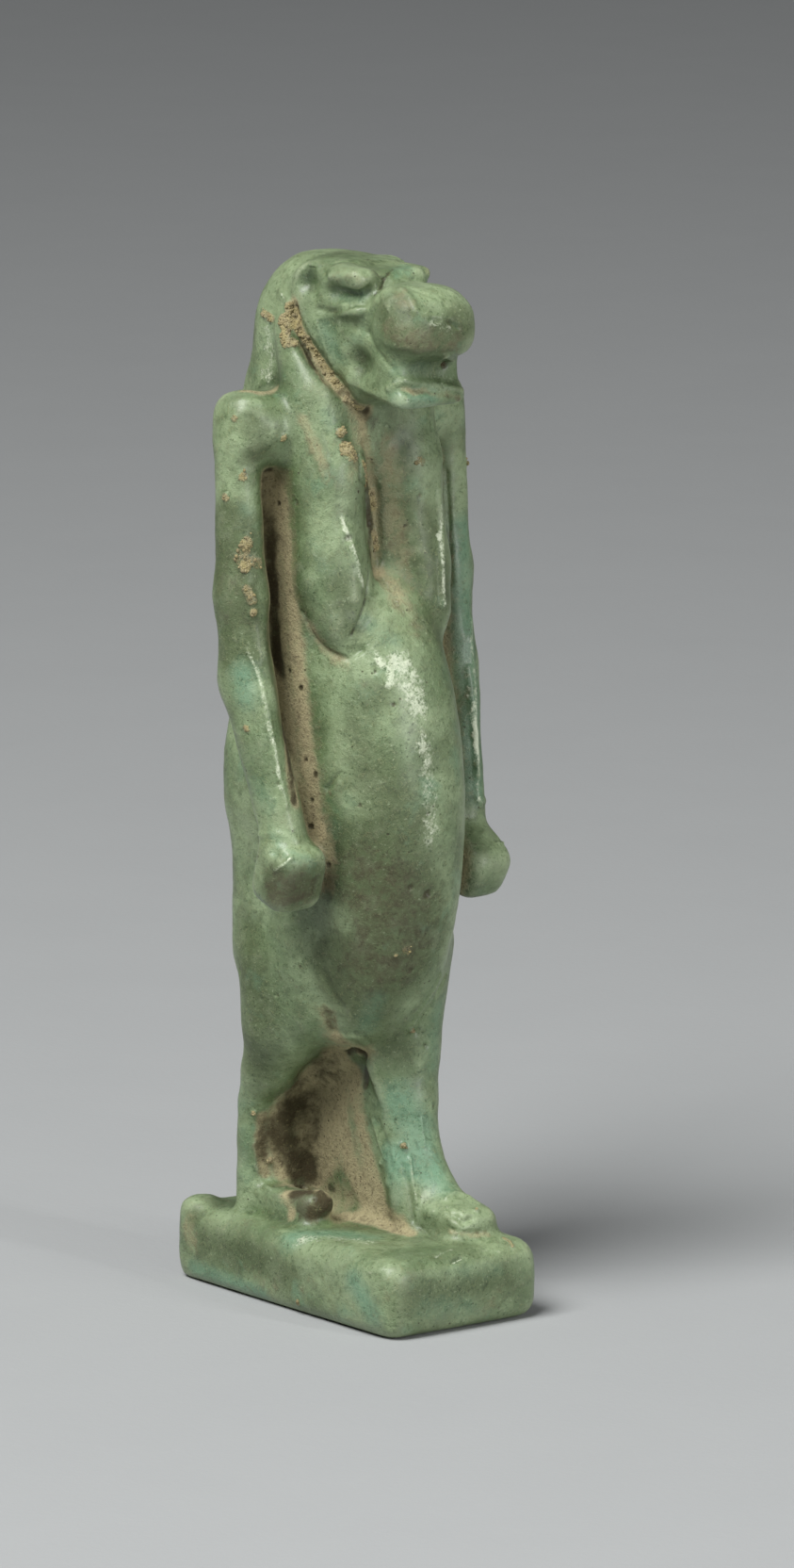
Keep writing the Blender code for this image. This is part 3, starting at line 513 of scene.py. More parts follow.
CHANNELS = {
    "shaping": SHAPING | pit_marks(lambda pit: -PIT_DEPTH * pit.radius),
    "worn": WORN_AND_GLINTS,
    "crusted": CRUSTED,
    "soiled": SOILED,
    "darkened": DARKENED | pit_marks(lambda pit: 1.0),
    "blued": BLUED,
    "olived": OLIVED,
}
# Marks with a reach up to this many millimetres get a finer mesh round them.
FINE_REACH = 0.45
# The outer share of a mark's reach in which it fades out, where that isn't all of it.
FADES = {"crusted": 0.7, "soiled": 0.85, "darkened": 0.8}


def srgb(red, green, blue):
    """A colour given in 0 to 255, as linear light."""
    shares = [value / 255 for value in (red, green, blue)]
    return [s / 12.92 if s <= 0.04045 else ((s + 0.055) / 1.055) ** 2.4 for s in shares]


class Nodes:
    """Adds and links nodes in a tree with one call each."""

    def __init__(self, tree):
        self.tree = tree

    def add(self, kind, *inputs, **settings):
        """A node with its settings, and its inputs filled in order with sockets or values."""
        node = self.tree.nodes.new(kind)
        for name, value in settings.items():
            setattr(node, name, value)
        for socket, value in zip(node.inputs, inputs):
            self.fill(socket, value)
        return node

    def fill(self, socket, value):
        """Links a socket to the input, or sets the input to a value. None leaves it as it is."""
        if isinstance(value, bpy.types.NodeSocket):
            self.tree.links.new(value, socket)
        elif value is not None:
            socket.default_value = value

    def named(self, kind, settings=None, **inputs):
        """A node whose inputs are filled by name."""
        node = self.add(kind, **(settings or {}))
        for name, value in inputs.items():
            self.fill(node.inputs[name.replace("_", " ")], value)
        return node

    def group(self, tree, **inputs):
        """The outputs of a node that holds that shader group."""
        return self.named("ShaderNodeGroup", {"node_tree": tree}, **inputs).outputs

    def math(self, operation, *inputs, clamp=False):
        return self.add("ShaderNodeMath", *inputs, operation=operation, use_clamp=clamp).outputs[0]

    def plus(self, *values):
        total = values[0]
        for value in values[1:]:
            total = self.math("ADD", total, value)
        return total

    def times(self, *values):
        total = values[0]
        for value in values[1:]:
            total = self.math("MULTIPLY", total, value)
        return total

    def between(self, share, low, high):
        """A share of 0 to 1 as a value from low to high."""
        return self.math("MULTIPLY_ADD", share, high - low, low)

    def around(self, noise, height):
        """Noise of 0 to 1 as a value from -height to height."""
        return self.between(noise, -height, height)

    def largest(self, *values):
        """The largest of those values."""
        most = values[0]
        for value in values[1:]:
            most = self.math("MAXIMUM", most, value)
        return most

    def without(self, share):
        """What is left of 1."""
        return self.math("SUBTRACT", 1.0, share, clamp=True)

    def vector(self, operation, *inputs):
        """A vector, or the number that a dot product gives."""
        node = self.add("ShaderNodeVectorMath", *inputs, operation=operation)
        return node.outputs["Value" if operation == "DOT_PRODUCT" else "Vector"]

    def scaled(self, vector, factor):
        node = self.add("ShaderNodeVectorMath", vector, operation="SCALE")
        self.fill(node.inputs["Scale"], factor)
        return node.outputs["Vector"]

    def ramp(self, value, low, high, smooth=True):
        """0 at low, 1 at high, and held beyond them."""
        kind = "SMOOTHSTEP" if smooth else "LINEAR"
        node = self.add("ShaderNodeMapRange", value, low, high, 0.0, 1.0, interpolation_type=kind)
        return node.outputs[0]

    def mix(self, share, first, second, blend="MIX"):
        """The second colour over the first, as far as the share says."""
        node = self.add("ShaderNodeMix", data_type="RGBA", blend_type=blend)
        self.fill(node.inputs["Factor"], share)
        for name, colour in (("A", first), ("B", second)):
            socket = [s for s in node.inputs if s.name == name and s.type == "RGBA"][0]
            if not isinstance(colour, bpy.types.NodeSocket):
                colour = (*colour[:3], 1.0)
            self.fill(socket, colour)
        return [s for s in node.outputs if s.type == "RGBA"][0]


# The body's mesh.


def geometry_tree(name, inputs):
    """An empty Geometry Nodes tree with a geometry going in and out, and those named inputs."""
    tree = bpy.data.node_groups.new(name, "GeometryNodeTree")
    tree.interface.new_socket("Geometry", in_out="INPUT", socket_type="NodeSocketGeometry")
    tree.interface.new_socket("Geometry", in_out="OUTPUT", socket_type="NodeSocketGeometry")
    for label, kind, default in inputs:
        socket = tree.interface.new_socket(label, in_out="INPUT", socket_type="NodeSocket" + kind)
        if default is not None:
            socket.default_value = default
    return tree


def attribute_of(nodes, name, kind="FLOAT"):
    """The mesh's attribute of that name."""
    return nodes.add("GeometryNodeInputNamedAttribute", name, data_type=kind).outputs[0]


def stored(nodes, geometry, name, value):
    """The geometry with that value kept on its points under that name."""
    keep = nodes.add("GeometryNodeStoreNamedAttribute", geometry, domain="POINT")
    nodes.fill(keep.inputs["Name"], name)
    nodes.fill(keep.inputs["Value"], value)
    return keep.outputs[0]


def repeat_zone(nodes, geometry, count):
    """A repeat zone round a geometry; returns its two end nodes."""
    start = nodes.add("GeometryNodeRepeatInput")
    end = nodes.add("GeometryNodeRepeatOutput")
    start.pair_with_output(end)
    nodes.fill(start.inputs["Iterations"], count)
    nodes.fill(start.inputs["Geometry"], geometry)
    return start, end


def marks_tree():
    """Adds each mark of the guide to one channel of the mesh.

    A mark fades out at its reach, over that share of the reach which Fade gives.
    """
    tree = geometry_tree(
        "Marks on the surface",
        [
            ("Marks", "Object", None),
            ("Channel", "String", None),
            ("Count", "Int", None),
            ("Fade", "Float", None),
        ],
    )
    nodes = Nodes(tree)
    source = nodes.add("NodeGroupInput").outputs
    guide = nodes.add("GeometryNodeObjectInfo", source["Marks"]).outputs["Geometry"]
    start, end = repeat_zone(nodes, source["Geometry"], source["Count"])
    ours = nodes.add("FunctionNodeCompare", data_type="INT", operation="EQUAL")
    integers = [socket for socket in ours.inputs if socket.type == "INT"]
    nodes.fill(integers[0], attribute_of(nodes, "mark", "INT"))
    nodes.fill(integers[1], start.outputs["Iteration"])
    one = nodes.add("GeometryNodeSeparateGeometry", guide, ours.outputs[0], domain="POINT").outputs[0]
    near = nodes.add("GeometryNodeProximity", one, target_element="EDGES").outputs["Distance"]

    def first(name):
        """The mark's own value of that name, which all its points share."""
        pick = nodes.add("GeometryNodeSampleIndex", one, data_type="FLOAT", domain="POINT")
        nodes.fill(pick.inputs["Value"], attribute_of(nodes, name))
        return pick.outputs[0]

    share = nodes.math("SUBTRACT", 1.0, nodes.math("DIVIDE", near, first("reach")), clamp=True)
    touch = nodes.times(nodes.ramp(share, 0.0, source["Fade"]), first("strength"))
    before = attribute_of(nodes, source["Channel"])
    marked = stored(nodes, start.outputs["Geometry"], source["Channel"], nodes.plus(before, touch))
    tree.links.new(marked, end.inputs["Geometry"])
    tree.links.new(end.outputs["Geometry"], nodes.add("NodeGroupOutput").inputs[0])
    return tree


# Rounds of blur for the share of sky, for sharp edges and for broad swells and hollows.
SKY_ROUNDS, EDGE_ROUNDS, BULGE_ROUNDS = 3, 6, 40
NEVER_ZERO = 0.001


def openness_tree():
    """Stores how much sky each point sees, and how far it stands out from what is round it."""
    tree = geometry_tree(
        "Open and hollow",
        [("Rays", "Int", 48), ("Ray length", "Float", 6 * MM), ("Clearance", "Float", 0.06 * MM)],
    )
    nodes = Nodes(tree)
    source = nodes.add("NodeGroupInput").outputs
    position = nodes.add("GeometryNodeInputPosition").outputs[0]
    normal = nodes.add("GeometryNodeInputNormal").outputs[0]
    start, end = repeat_zone(nodes, source["Geometry"], source["Rays"])
    # Each round sends one ray, and the rays are spread evenly on a spiral over the sphere.
    golden = math.pi * (3 - math.sqrt(5))
    turn = nodes.times(start.outputs["Iteration"], golden)
    step = nodes.math("DIVIDE", nodes.plus(start.outputs["Iteration"], 0.5), source["Rays"])
    up = nodes.between(step, 1.0, -1.0)
    out = nodes.math("SQRT", nodes.math("SUBTRACT", 1.0, nodes.times(up, up)))
    across = nodes.times(nodes.math("COSINE", turn), out)
    along = nodes.times(nodes.math("SINE", turn), out)
    aim = nodes.add("ShaderNodeCombineXYZ", across, along, up).outputs[0]
    facing = nodes.largest(nodes.vector("DOT_PRODUCT", aim, normal), 0.0)
    ray = nodes.named(
        "GeometryNodeRaycast",
        Target_Geometry=source["Geometry"],
        Source_Position=nodes.vector("ADD", position, nodes.scaled(normal, source["Clearance"])),
        Ray_Direction=aim,
        Ray_Length=source["Ray length"],
    )
    seen = nodes.times(facing, nodes.math("SUBTRACT", 1.0, ray.outputs["Is Hit"]))
    geometry = start.outputs["Geometry"]
    for name, amount in (("seen", seen), ("whole", facing)):
        geometry = stored(nodes, geometry, name, nodes.plus(attribute_of(nodes, name), amount))
    tree.links.new(geometry, end.inputs["Geometry"])

    def blurred(value, kind, rounds):
        """The value evened out with its neighbours that many times."""
        node = nodes.add("GeometryNodeBlurAttribute", data_type=kind)
        nodes.fill([s for s in node.inputs if s.name == "Value" and s.enabled][0], value)
        nodes.fill(node.inputs["Iterations"], rounds)
        return [s for s in node.outputs if s.enabled][0]

    def bulge(rounds):
        """Millimetres by which a point stands out from the skin smoothed by those rounds."""
        proud = nodes.vector("SUBTRACT", position, blurred(position, "FLOAT_VECTOR", rounds))
        return nodes.math("DIVIDE", nodes.vector("DOT_PRODUCT", proud, normal), MM)

    whole = nodes.largest(attribute_of(nodes, "whole"), NEVER_ZERO)
    sky = nodes.math("DIVIDE", attribute_of(nodes, "seen"), whole)
    geometry = stored(nodes, end.outputs["Geometry"], "open", blurred(sky, "FLOAT", SKY_ROUNDS))
    geometry = stored(nodes, geometry, "edge", bulge(EDGE_ROUNDS))
    geometry = stored(nodes, geometry, "bulge", bulge(BULGE_ROUNDS))
    for name in ("seen", "whole"):
        drop = nodes.add("GeometryNodeRemoveAttribute", geometry)
        drop.inputs["Name"].default_value = name
        geometry = drop.outputs[0]
    tree.links.new(geometry, nodes.add("NodeGroupOutput").inputs[0])
    return tree


# The crust's surface: its usual level and how far lumps depart from it, as shares of its thickness.
CRUST_LEVEL, CRUST_ROUGHNESS = 0.6, 1.3


def relief_tree():
    """Moves the skin by the shaping channel, the soil's thickness and the unevenness of the paste."""
    tree = geometry_tree(
        "Relief",
        [
            ("Wave size", "Float", 2.4 * MM),
            ("Wave height", "Float", None),
            ("Dent size", "Float", 0.7 * MM),
            ("Dent height", "Float", None),
            ("Crust size", "Float", 0.3 * MM),
            ("Crust height", "Float", None),
            ("Firm foot", "Float", 0.5 * MM),
            ("Lowest", "Vector", None),
            ("Highest", "Vector", None),
        ],
    )
    nodes = Nodes(tree)
    source = nodes.add("NodeGroupInput").outputs
    position = nodes.add("GeometryNodeInputPosition").outputs[0]
    normal = nodes.add("GeometryNodeInputNormal").outputs[0]

    def lumps(size, detail=1.5):
        """Noise of -1 to 1 with lumps of that size."""
        scale = nodes.math("DIVIDE", 1.0, source[size])
        noise = nodes.named("ShaderNodeTexNoise", Vector=position, Scale=scale, Detail=detail)
        return nodes.around(noise.outputs[0], 1.0)

    waves = nodes.times(lumps("Wave size"), source["Wave height"])
    dents = nodes.times(lumps("Dent size"), source["Dent height"])
    crusted = nodes.math("MINIMUM", attribute_of(nodes, "crusted"), 1.0)
    rough = nodes.math("MULTIPLY_ADD", lumps("Crust size", detail=2.0), CRUST_ROUGHNESS, CRUST_LEVEL)
    crust = nodes.times(nodes.times(crusted, rough), source["Crust height"])
    push = nodes.plus(nodes.times(attribute_of(nodes, "shaping"), MM), waves, dents, crust)
    height = nodes.add("ShaderNodeSeparateXYZ", position).outputs[2]
    push = nodes.times(push, nodes.ramp(height, 0.0, source["Firm foot"]))
    moved = nodes.vector("ADD", position, nodes.scaled(normal, push))
    held = nodes.vector("MINIMUM", nodes.vector("MAXIMUM", moved, source["Lowest"]), source["Highest"])
    skin = nodes.add("GeometryNodeSetPosition", source["Geometry"])
    nodes.fill(skin.inputs["Position"], held)
    tree.links.new(skin.outputs[0], nodes.add("NodeGroupOutput").inputs[0])
    return tree


# A crumb: its sides and rings, its least and greatest proportions, and how crusted the skin is
# where the first crumbs lie and where they lie most densely.
CRUMB_SIDES, CRUMB_RINGS = 7, 5
LEAST_CRUMB, GREATEST_CRUMB = (0.6, 0.6, 0.45), (1.2, 1.2, 1.0)
FIRST_CRUMBS, MOST_CRUMBS = 0.35, 0.9


def crumbs_tree():
    """Strews small lumps of dried soil where the skin is crusted."""
    tree = geometry_tree(
        "Crumbs",
        [
            ("Most", "Float", None),
            ("Smallest", "Float", None),
            ("Largest", "Float", None),
            ("Seed", "Int", None),
            ("Material", "Material", None),
        ],
    )
    nodes = Nodes(tree)
    source = nodes.add("NodeGroupInput").outputs
    share = nodes.ramp(attribute_of(nodes, "crusted"), FIRST_CRUMBS, MOST_CRUMBS)
    points = nodes.add("GeometryNodeDistributePointsOnFaces", source["Geometry"])
    nodes.fill(points.inputs["Density"], nodes.times(share, source["Most"]))
    nodes.fill(points.inputs["Seed"], source["Seed"])
    lump = nodes.add("GeometryNodeMeshUVSphere", CRUMB_SIDES, CRUMB_RINGS, 1.0).outputs["Mesh"]

    def random(kind, low, high):
        """A random number or direction for each crumb."""
        node = nodes.add("FunctionNodeRandomValue", data_type=kind)
        ends = [s for s in node.inputs if s.name in {"Min", "Max"} and s.enabled]
        nodes.fill(ends[0], low)
        nodes.fill(ends[1], high)
        nodes.fill([s for s in node.inputs if s.name == "Seed"][0], source["Seed"])
        return [s for s in node.outputs if s.enabled][0]

    shape = random("FLOAT_VECTOR", LEAST_CRUMB, GREATEST_CRUMB)
    size = random("FLOAT", source["Smallest"], source["Largest"])
    tinted = stored(nodes, points.outputs["Points"], "tint", random("FLOAT", 0.0, 1.0))
    placed = nodes.add("GeometryNodeInstanceOnPoints", tinted)
    nodes.fill(placed.inputs["Instance"], lump)
    nodes.fill(placed.inputs["Rotation"], random("FLOAT_VECTOR", (0, 0, 0), (math.tau,) * 3))
    nodes.fill(placed.inputs["Scale"], nodes.scaled(shape, size))
    real = nodes.add("GeometryNodeRealizeInstances", placed.outputs[0]).outputs[0]
    coated = nodes.add("GeometryNodeSetMaterial", real)
    nodes.fill(coated.inputs["Material"], source["Material"])
    tree.links.new(coated.outputs[0], nodes.add("NodeGroupOutput").inputs[0])
    return tree


def add_object(name, data):
    """A new object of the scene with that mesh, light or camera."""
    obj = bpy.data.objects.new(name, data)
    bpy.context.scene.collection.objects.link(obj)
    return obj


def grown(obj):
    """Takes what the modifiers make of the object as its plain mesh, and removes them."""
    graph = bpy.context.evaluated_depsgraph_get()
    mesh = bpy.data.meshes.new_from_object(obj.evaluated_get(graph))
    obj.modifiers.clear()
    obj.data = mesh
    return obj


def grow_with(obj, tree, **inputs):
    """A Geometry Nodes modifier with its inputs set by their sockets' identifiers."""
    modifier = obj.modifiers.new(tree.name, "NODES")
    modifier.node_group = tree
    sockets = {
        item.name.replace(" ", "_"): item.identifier
        for item in tree.interface.items_tree
        if item.item_type == "SOCKET" and item.in_out == "INPUT"
    }
    for name, value in inputs.items():
        modifier[sockets[name]] = value


def blank(fineness):
    """The CAD solid's skin, merged and remade as an even, fine and smooth mesh."""
    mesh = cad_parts[NODE].data.copy()
    work = bmesh.new()
    work.from_mesh(mesh)
    bmesh.ops.remove_doubles(work, verts=work.verts, dist=MERGE_DISTANCE)
    work.to_mesh(mesh)
    work.free()
    mesh.materials.clear()
    body = add_object("faience_body", mesh)
    rounder = body.modifiers.new("Round off", "SUBSURF")
    rounder.levels = rounder.render_levels = 1
    remake = body.modifiers.new("Remake", "REMESH")
    remake.mode = "VOXEL"
    remake.voxel_size = fineness
    return grown(body)


def relax(body, rounds):
    """Evens the mesh out over that many rounds."""
    smoother = body.modifiers.new("Relax", "SMOOTH")
    smoother.iterations = rounds
    grown(body)


def toward_camera():
    """The direction from the amulet to the camera."""
    level = math.cos(ELEVATION)
    return Vector((math.sin(AZIMUTH) * level, -math.cos(AZIMUTH) * level, math.sin(ELEVATION)))


class Sight:
    """Finds the place on the body that a pixel of the photograph shows."""

    def __init__(self, body, distance):
        graph = bpy.context.evaluated_depsgraph_get()
        self.skin = BVHTree.FromObject(body, graph)
        back = toward_camera()
        self.eye = AIM + back * distance
        self.turn = (-back).to_track_quat("-Z", "Y")
        self.distance = distance

    def place(self, pixel):
        """The place on the body at that pixel."""
        across = (pixel[0] - AIM_PIXEL[0]) / PIXELS_PER_MM * MM
        up = (AIM_PIXEL[1] - pixel[1]) / PIXELS_PER_MM * MM
        ray = self.turn @ Vector((across, up, -self.distance))
        hit = self.skin.ray_cast(self.eye, ray.normalized())[0]
        if hit is None:
            raise ValueError(f"the mark at {pixel} misses the body")
        return hit

    def twin(self, place):
        """The place on the body nearest to that one's mirror image."""
        return self.skin.find_nearest(Vector((-place.x, place.y, place.z)))[0]


TINY_EDGE = Vector((0, 0, 0.01 * MM))


class Guide:
    """A channel's marks laid on the body, as a wire mesh with one run of edges for each."""

    def __init__(self, channel, marks, sight):
        self.channel = channel
        self.places, self.edges, self.fine = [], [], []
        self.numbers, self.reaches, self.strengths = [], [], []
        self.count = 0
        for mark in marks.values():
            run = [sight.place(point) for point in mark.points]
            if "near" in mark.sides:
                self.lay(mark, run)
            if "far" in mark.sides:
                self.lay(mark, [sight.twin(place) for place in run])

    def lay(self, mark, run):
        """Adds a mark along that run of places. A single place gets a tiny edge of its own."""
        if len(run) == 1:
            run = [run[0], run[0] + TINY_EDGE]
        begin = len(self.places)
        self.edges += [(begin + i, begin + i + 1) for i in range(len(run) - 1)]
        self.places += run
        self.numbers += [self.count] * len(run)
        self.reaches += [mark.reach * MM] * len(run)
        self.strengths += [mark.strength] * len(run)
        self.count += 1
        if mark.reach <= FINE_REACH:
            self.fine += zip(run, run[1:])

    def object(self):
        """The wire mesh's object, with each mark's number, reach and strength on its points."""
        mesh = bpy.data.meshes.new("guide_" + self.channel)
        mesh.from_pydata(self.places, self.edges, [])
        for name, kind, values in (
            ("mark", "INT", self.numbers),
            ("reach", "FLOAT", self.reaches),
            ("strength", "FLOAT", self.strengths),
        ):
            mesh.attributes.new(name, kind, "POINT").data.foreach_set("value", values)
        return add_object(mesh.name, mesh)


# How densely a mark's line is sampled, as a share of the margin round it, and how often the mesh
# is evened out after its faces are split.
SAMPLING = 0.5
ROUNDS_AFTER_SPLITTING = 1


def refine(body, guides, margin):
    """Splits the faces within that margin of the small marks, so that these stay crisp."""
    samples = []
    for guide in guides:
        for start, end in guide.fine:
            steps = max(1, round((end - start).length / (SAMPLING * margin)))
            samples += [start.lerp(end, i / steps) for i in range(steps + 1)]
    near = KDTree(len(samples))
    for i, sample in enumerate(samples):
        near.insert(sample, i)
    near.balance()
    work = bmesh.new()
    work.from_mesh(body.data)
    close = [face for face in work.faces if near.find(face.calc_center_median())[2] < margin]
    edges = list({edge for face in close for edge in face.edges})
    bmesh.ops.subdivide_edges(work, edges=edges, cuts=1, use_grid_fill=True)
    odd = [face for face in work.faces if len(face.verts) > 4]
    bmesh.ops.triangulate(work, faces=odd)
    work.to_mesh(body.data)
    work.free()


def press_marks(body, guides):
    """Draws every channel's marks on the body."""
    tree = marks_tree()
    wires = []
    for guide in guides:
        wire = guide.object()
        fade = FADES.get(guide.channel, 1.0)
        grow_with(body, tree, Marks=wire, Channel=guide.channel, Count=guide.count, Fade=fade)
        wires.append(wire)
    grown(body)
    for wire in wires:
        bpy.data.objects.remove(wire)


# The materials. Every length in them is in millimetres.


def shader_group(name, inputs, outputs):
    """A new shader group with those sockets: its tree, its helper, and its two ends' sockets."""
    tree = bpy.data.node_groups.new(name, "ShaderNodeTree")
    for way, sockets in (("INPUT", inputs), ("OUTPUT", outputs)):
        for label, kind in sockets:
            tree.interface.new_socket(label, in_out=way, socket_type="NodeSocket" + kind)
    nodes = Nodes(tree)
    return tree, nodes, nodes.add("NodeGroupInput").outputs, nodes.add("NodeGroupOutput").inputs


def clouds_group():
    """Soft irregular patches of a given size, as a share of 0 to 1."""
    inputs = [("Place", "Vector"), ("Size", "Float"), ("Seed", "Float"), ("Ragged", "Float")]
    tree, nodes, source, out = shader_group("Clouds", inputs, [("Share", "Float")])
    noise = nodes.named(
        "ShaderNodeTexNoise",
        {"noise_dimensions": "4D"},
        Vector=source["Place"],
        W=source["Seed"],
        Scale=nodes.math("DIVIDE", 1.0, source["Size"]),
        Detail=4.0,
        Roughness=source["Ragged"],
        Distortion=0.4,
    ).outputs[0]
    # Nearly all of a noise's values lie between a quarter and three quarters.
    nodes.fill(out["Share"], nodes.ramp(noise, 0.25, 0.75, smooth=False))
    return tree


def pores_group():
    """Round pores: one in some of the cells of a grid, with its depth in millimetres."""
    inputs = [("Place", "Vector"), ("Spacing", "Float"), ("Radius", "Float"), ("Share", "Float")]
    tree, nodes, source, out = shader_group("Pores", inputs, [("Mask", "Float"), ("Depth", "Float")])
    cells = nodes.named(
        "ShaderNodeTexVoronoi",
        Vector=source["Place"],
        Scale=nodes.math("DIVIDE", 1.0, source["Spacing"]),
        Randomness=0.9,
    )
    away = nodes.times(cells.outputs["Distance"], source["Spacing"])
    tint = nodes.add("ShaderNodeSeparateColor", cells.outputs["Color"]).outputs
    radius = nodes.times(source["Radius"], nodes.between(tint[1], 0.5, 1.2))
    chosen = nodes.math("LESS_THAN", tint[0], source["Share"])
    inside = nodes.math("SUBTRACT", 1.0, nodes.math("DIVIDE", away, radius), clamp=True)
    mask = nodes.times(nodes.ramp(inside, 0.0, 0.45), chosen)
    nodes.fill(out["Mask"], mask)
    nodes.fill(out["Depth"], nodes.times(mask, radius))
    return tree


def threads_group():
    """Fine pale threads that wander over the glaze, as a mask."""
    inputs = [("Place", "Vector"), ("Size", "Float"), ("Width", "Float")]
    tree, nodes, source, out = shader_group("Threads", inputs, [("Mask", "Float")])
    noise = nodes.named(
        "ShaderNodeTexNoise",
        Vector=source["Place"],
        Scale=nodes.math("DIVIDE", 1.0, source["Size"]),
        Detail=1.5,
        Roughness=0.55,
        Distortion=1.2,
    ).outputs[0]
    off = nodes.math("ABSOLUTE", nodes.math("SUBTRACT", noise, 0.5))
    nodes.fill(out["Mask"], nodes.ramp(off, source["Width"], 0.0))
    return tree


def grain_group():
    """Fine grain, as a height in millimetres."""
    inputs = [("Place", "Vector"), ("Size", "Float"), ("Height", "Float")]
    tree, nodes, source, out = shader_group("Grain", inputs, [("Height", "Float")])
    noise = nodes.named(
        "ShaderNodeTexNoise",
        Vector=source["Place"],
        Scale=nodes.math("DIVIDE", 1.0, source["Size"]),
        Detail=3.0,
        Roughness=0.6,
    ).outputs[0]
    nodes.fill(out["Height"], nodes.times(nodes.math("SUBTRACT", noise, 0.5), source["Height"]))
    return tree


GROUP_MAKERS = {
    "Clouds": clouds_group,
    "Pores": pores_group,
    "Threads": threads_group,
    "Grain": grain_group,
}


class Finish:
    """A material under construction: its nodes, its shader and the place on it in millimetres."""

    def __init__(self, name):
        self.material = bpy.data.materials.new(name)
        self.material.use_nodes = True
        self.nodes = Nodes(self.material.node_tree)
        self.shader = self.material.node_tree.nodes["Principled BSDF"]
        coordinates = self.nodes.add("ShaderNodeTexCoord").outputs["Object"]
        self.place = self.nodes.scaled(coordinates, 1 / MM)

    def mask(self, name):
        """An attribute of the mesh."""
        return self.nodes.add("ShaderNodeAttribute", attribute_name=name).outputs["Fac"]

    def shared(self, name, **inputs):
        """The outputs of a group that the materials share, which is built the first time."""
        tree = bpy.data.node_groups.get(name) or GROUP_MAKERS[name]()
        return self.nodes.group(tree, Place=self.place, **inputs)

    def clouds(self, size, seed, ragged=0.55):
        return self.shared("Clouds", Size=size, Seed=seed, Ragged=ragged)["Share"]

    def pores(self, spacing, radius, share):
        return self.shared("Pores", Spacing=spacing, Radius=radius, Share=share)

    def threads(self, size, width):
        return self.shared("Threads", Size=size, Width=width)["Mask"]

    def grain(self, size, height):
        return self.shared("Grain", Size=size, Height=height)["Height"]

    def broken(self, mask, noise, unevenness, low, high):
        """A mask that comes in from low to high, with its rim broken up by that noise."""
        uneven = self.nodes.plus(mask, self.nodes.around(noise, unevenness))
        return self.nodes.ramp(uneven, low, high)

    def laid(self, colour, added, strength, mask, blend="MIX"):
        """The colour with another laid over it, at that strength where the mask is full."""
        return self.nodes.mix(self.nodes.times(mask, strength), colour, added, blend)

    def bump(self, height):
        """Raises the surface's look by that height in millimetres."""
        node = self.nodes.named("ShaderNodeBump", Strength=1.0, Distance=MM, Height=height)
        self.wire("Normal", node.outputs[0])

    def wire(self, name, value):
        """Gives the shader's socket a number, or what comes out of another node."""
        self.nodes.fill(self.shader.inputs[name], value)


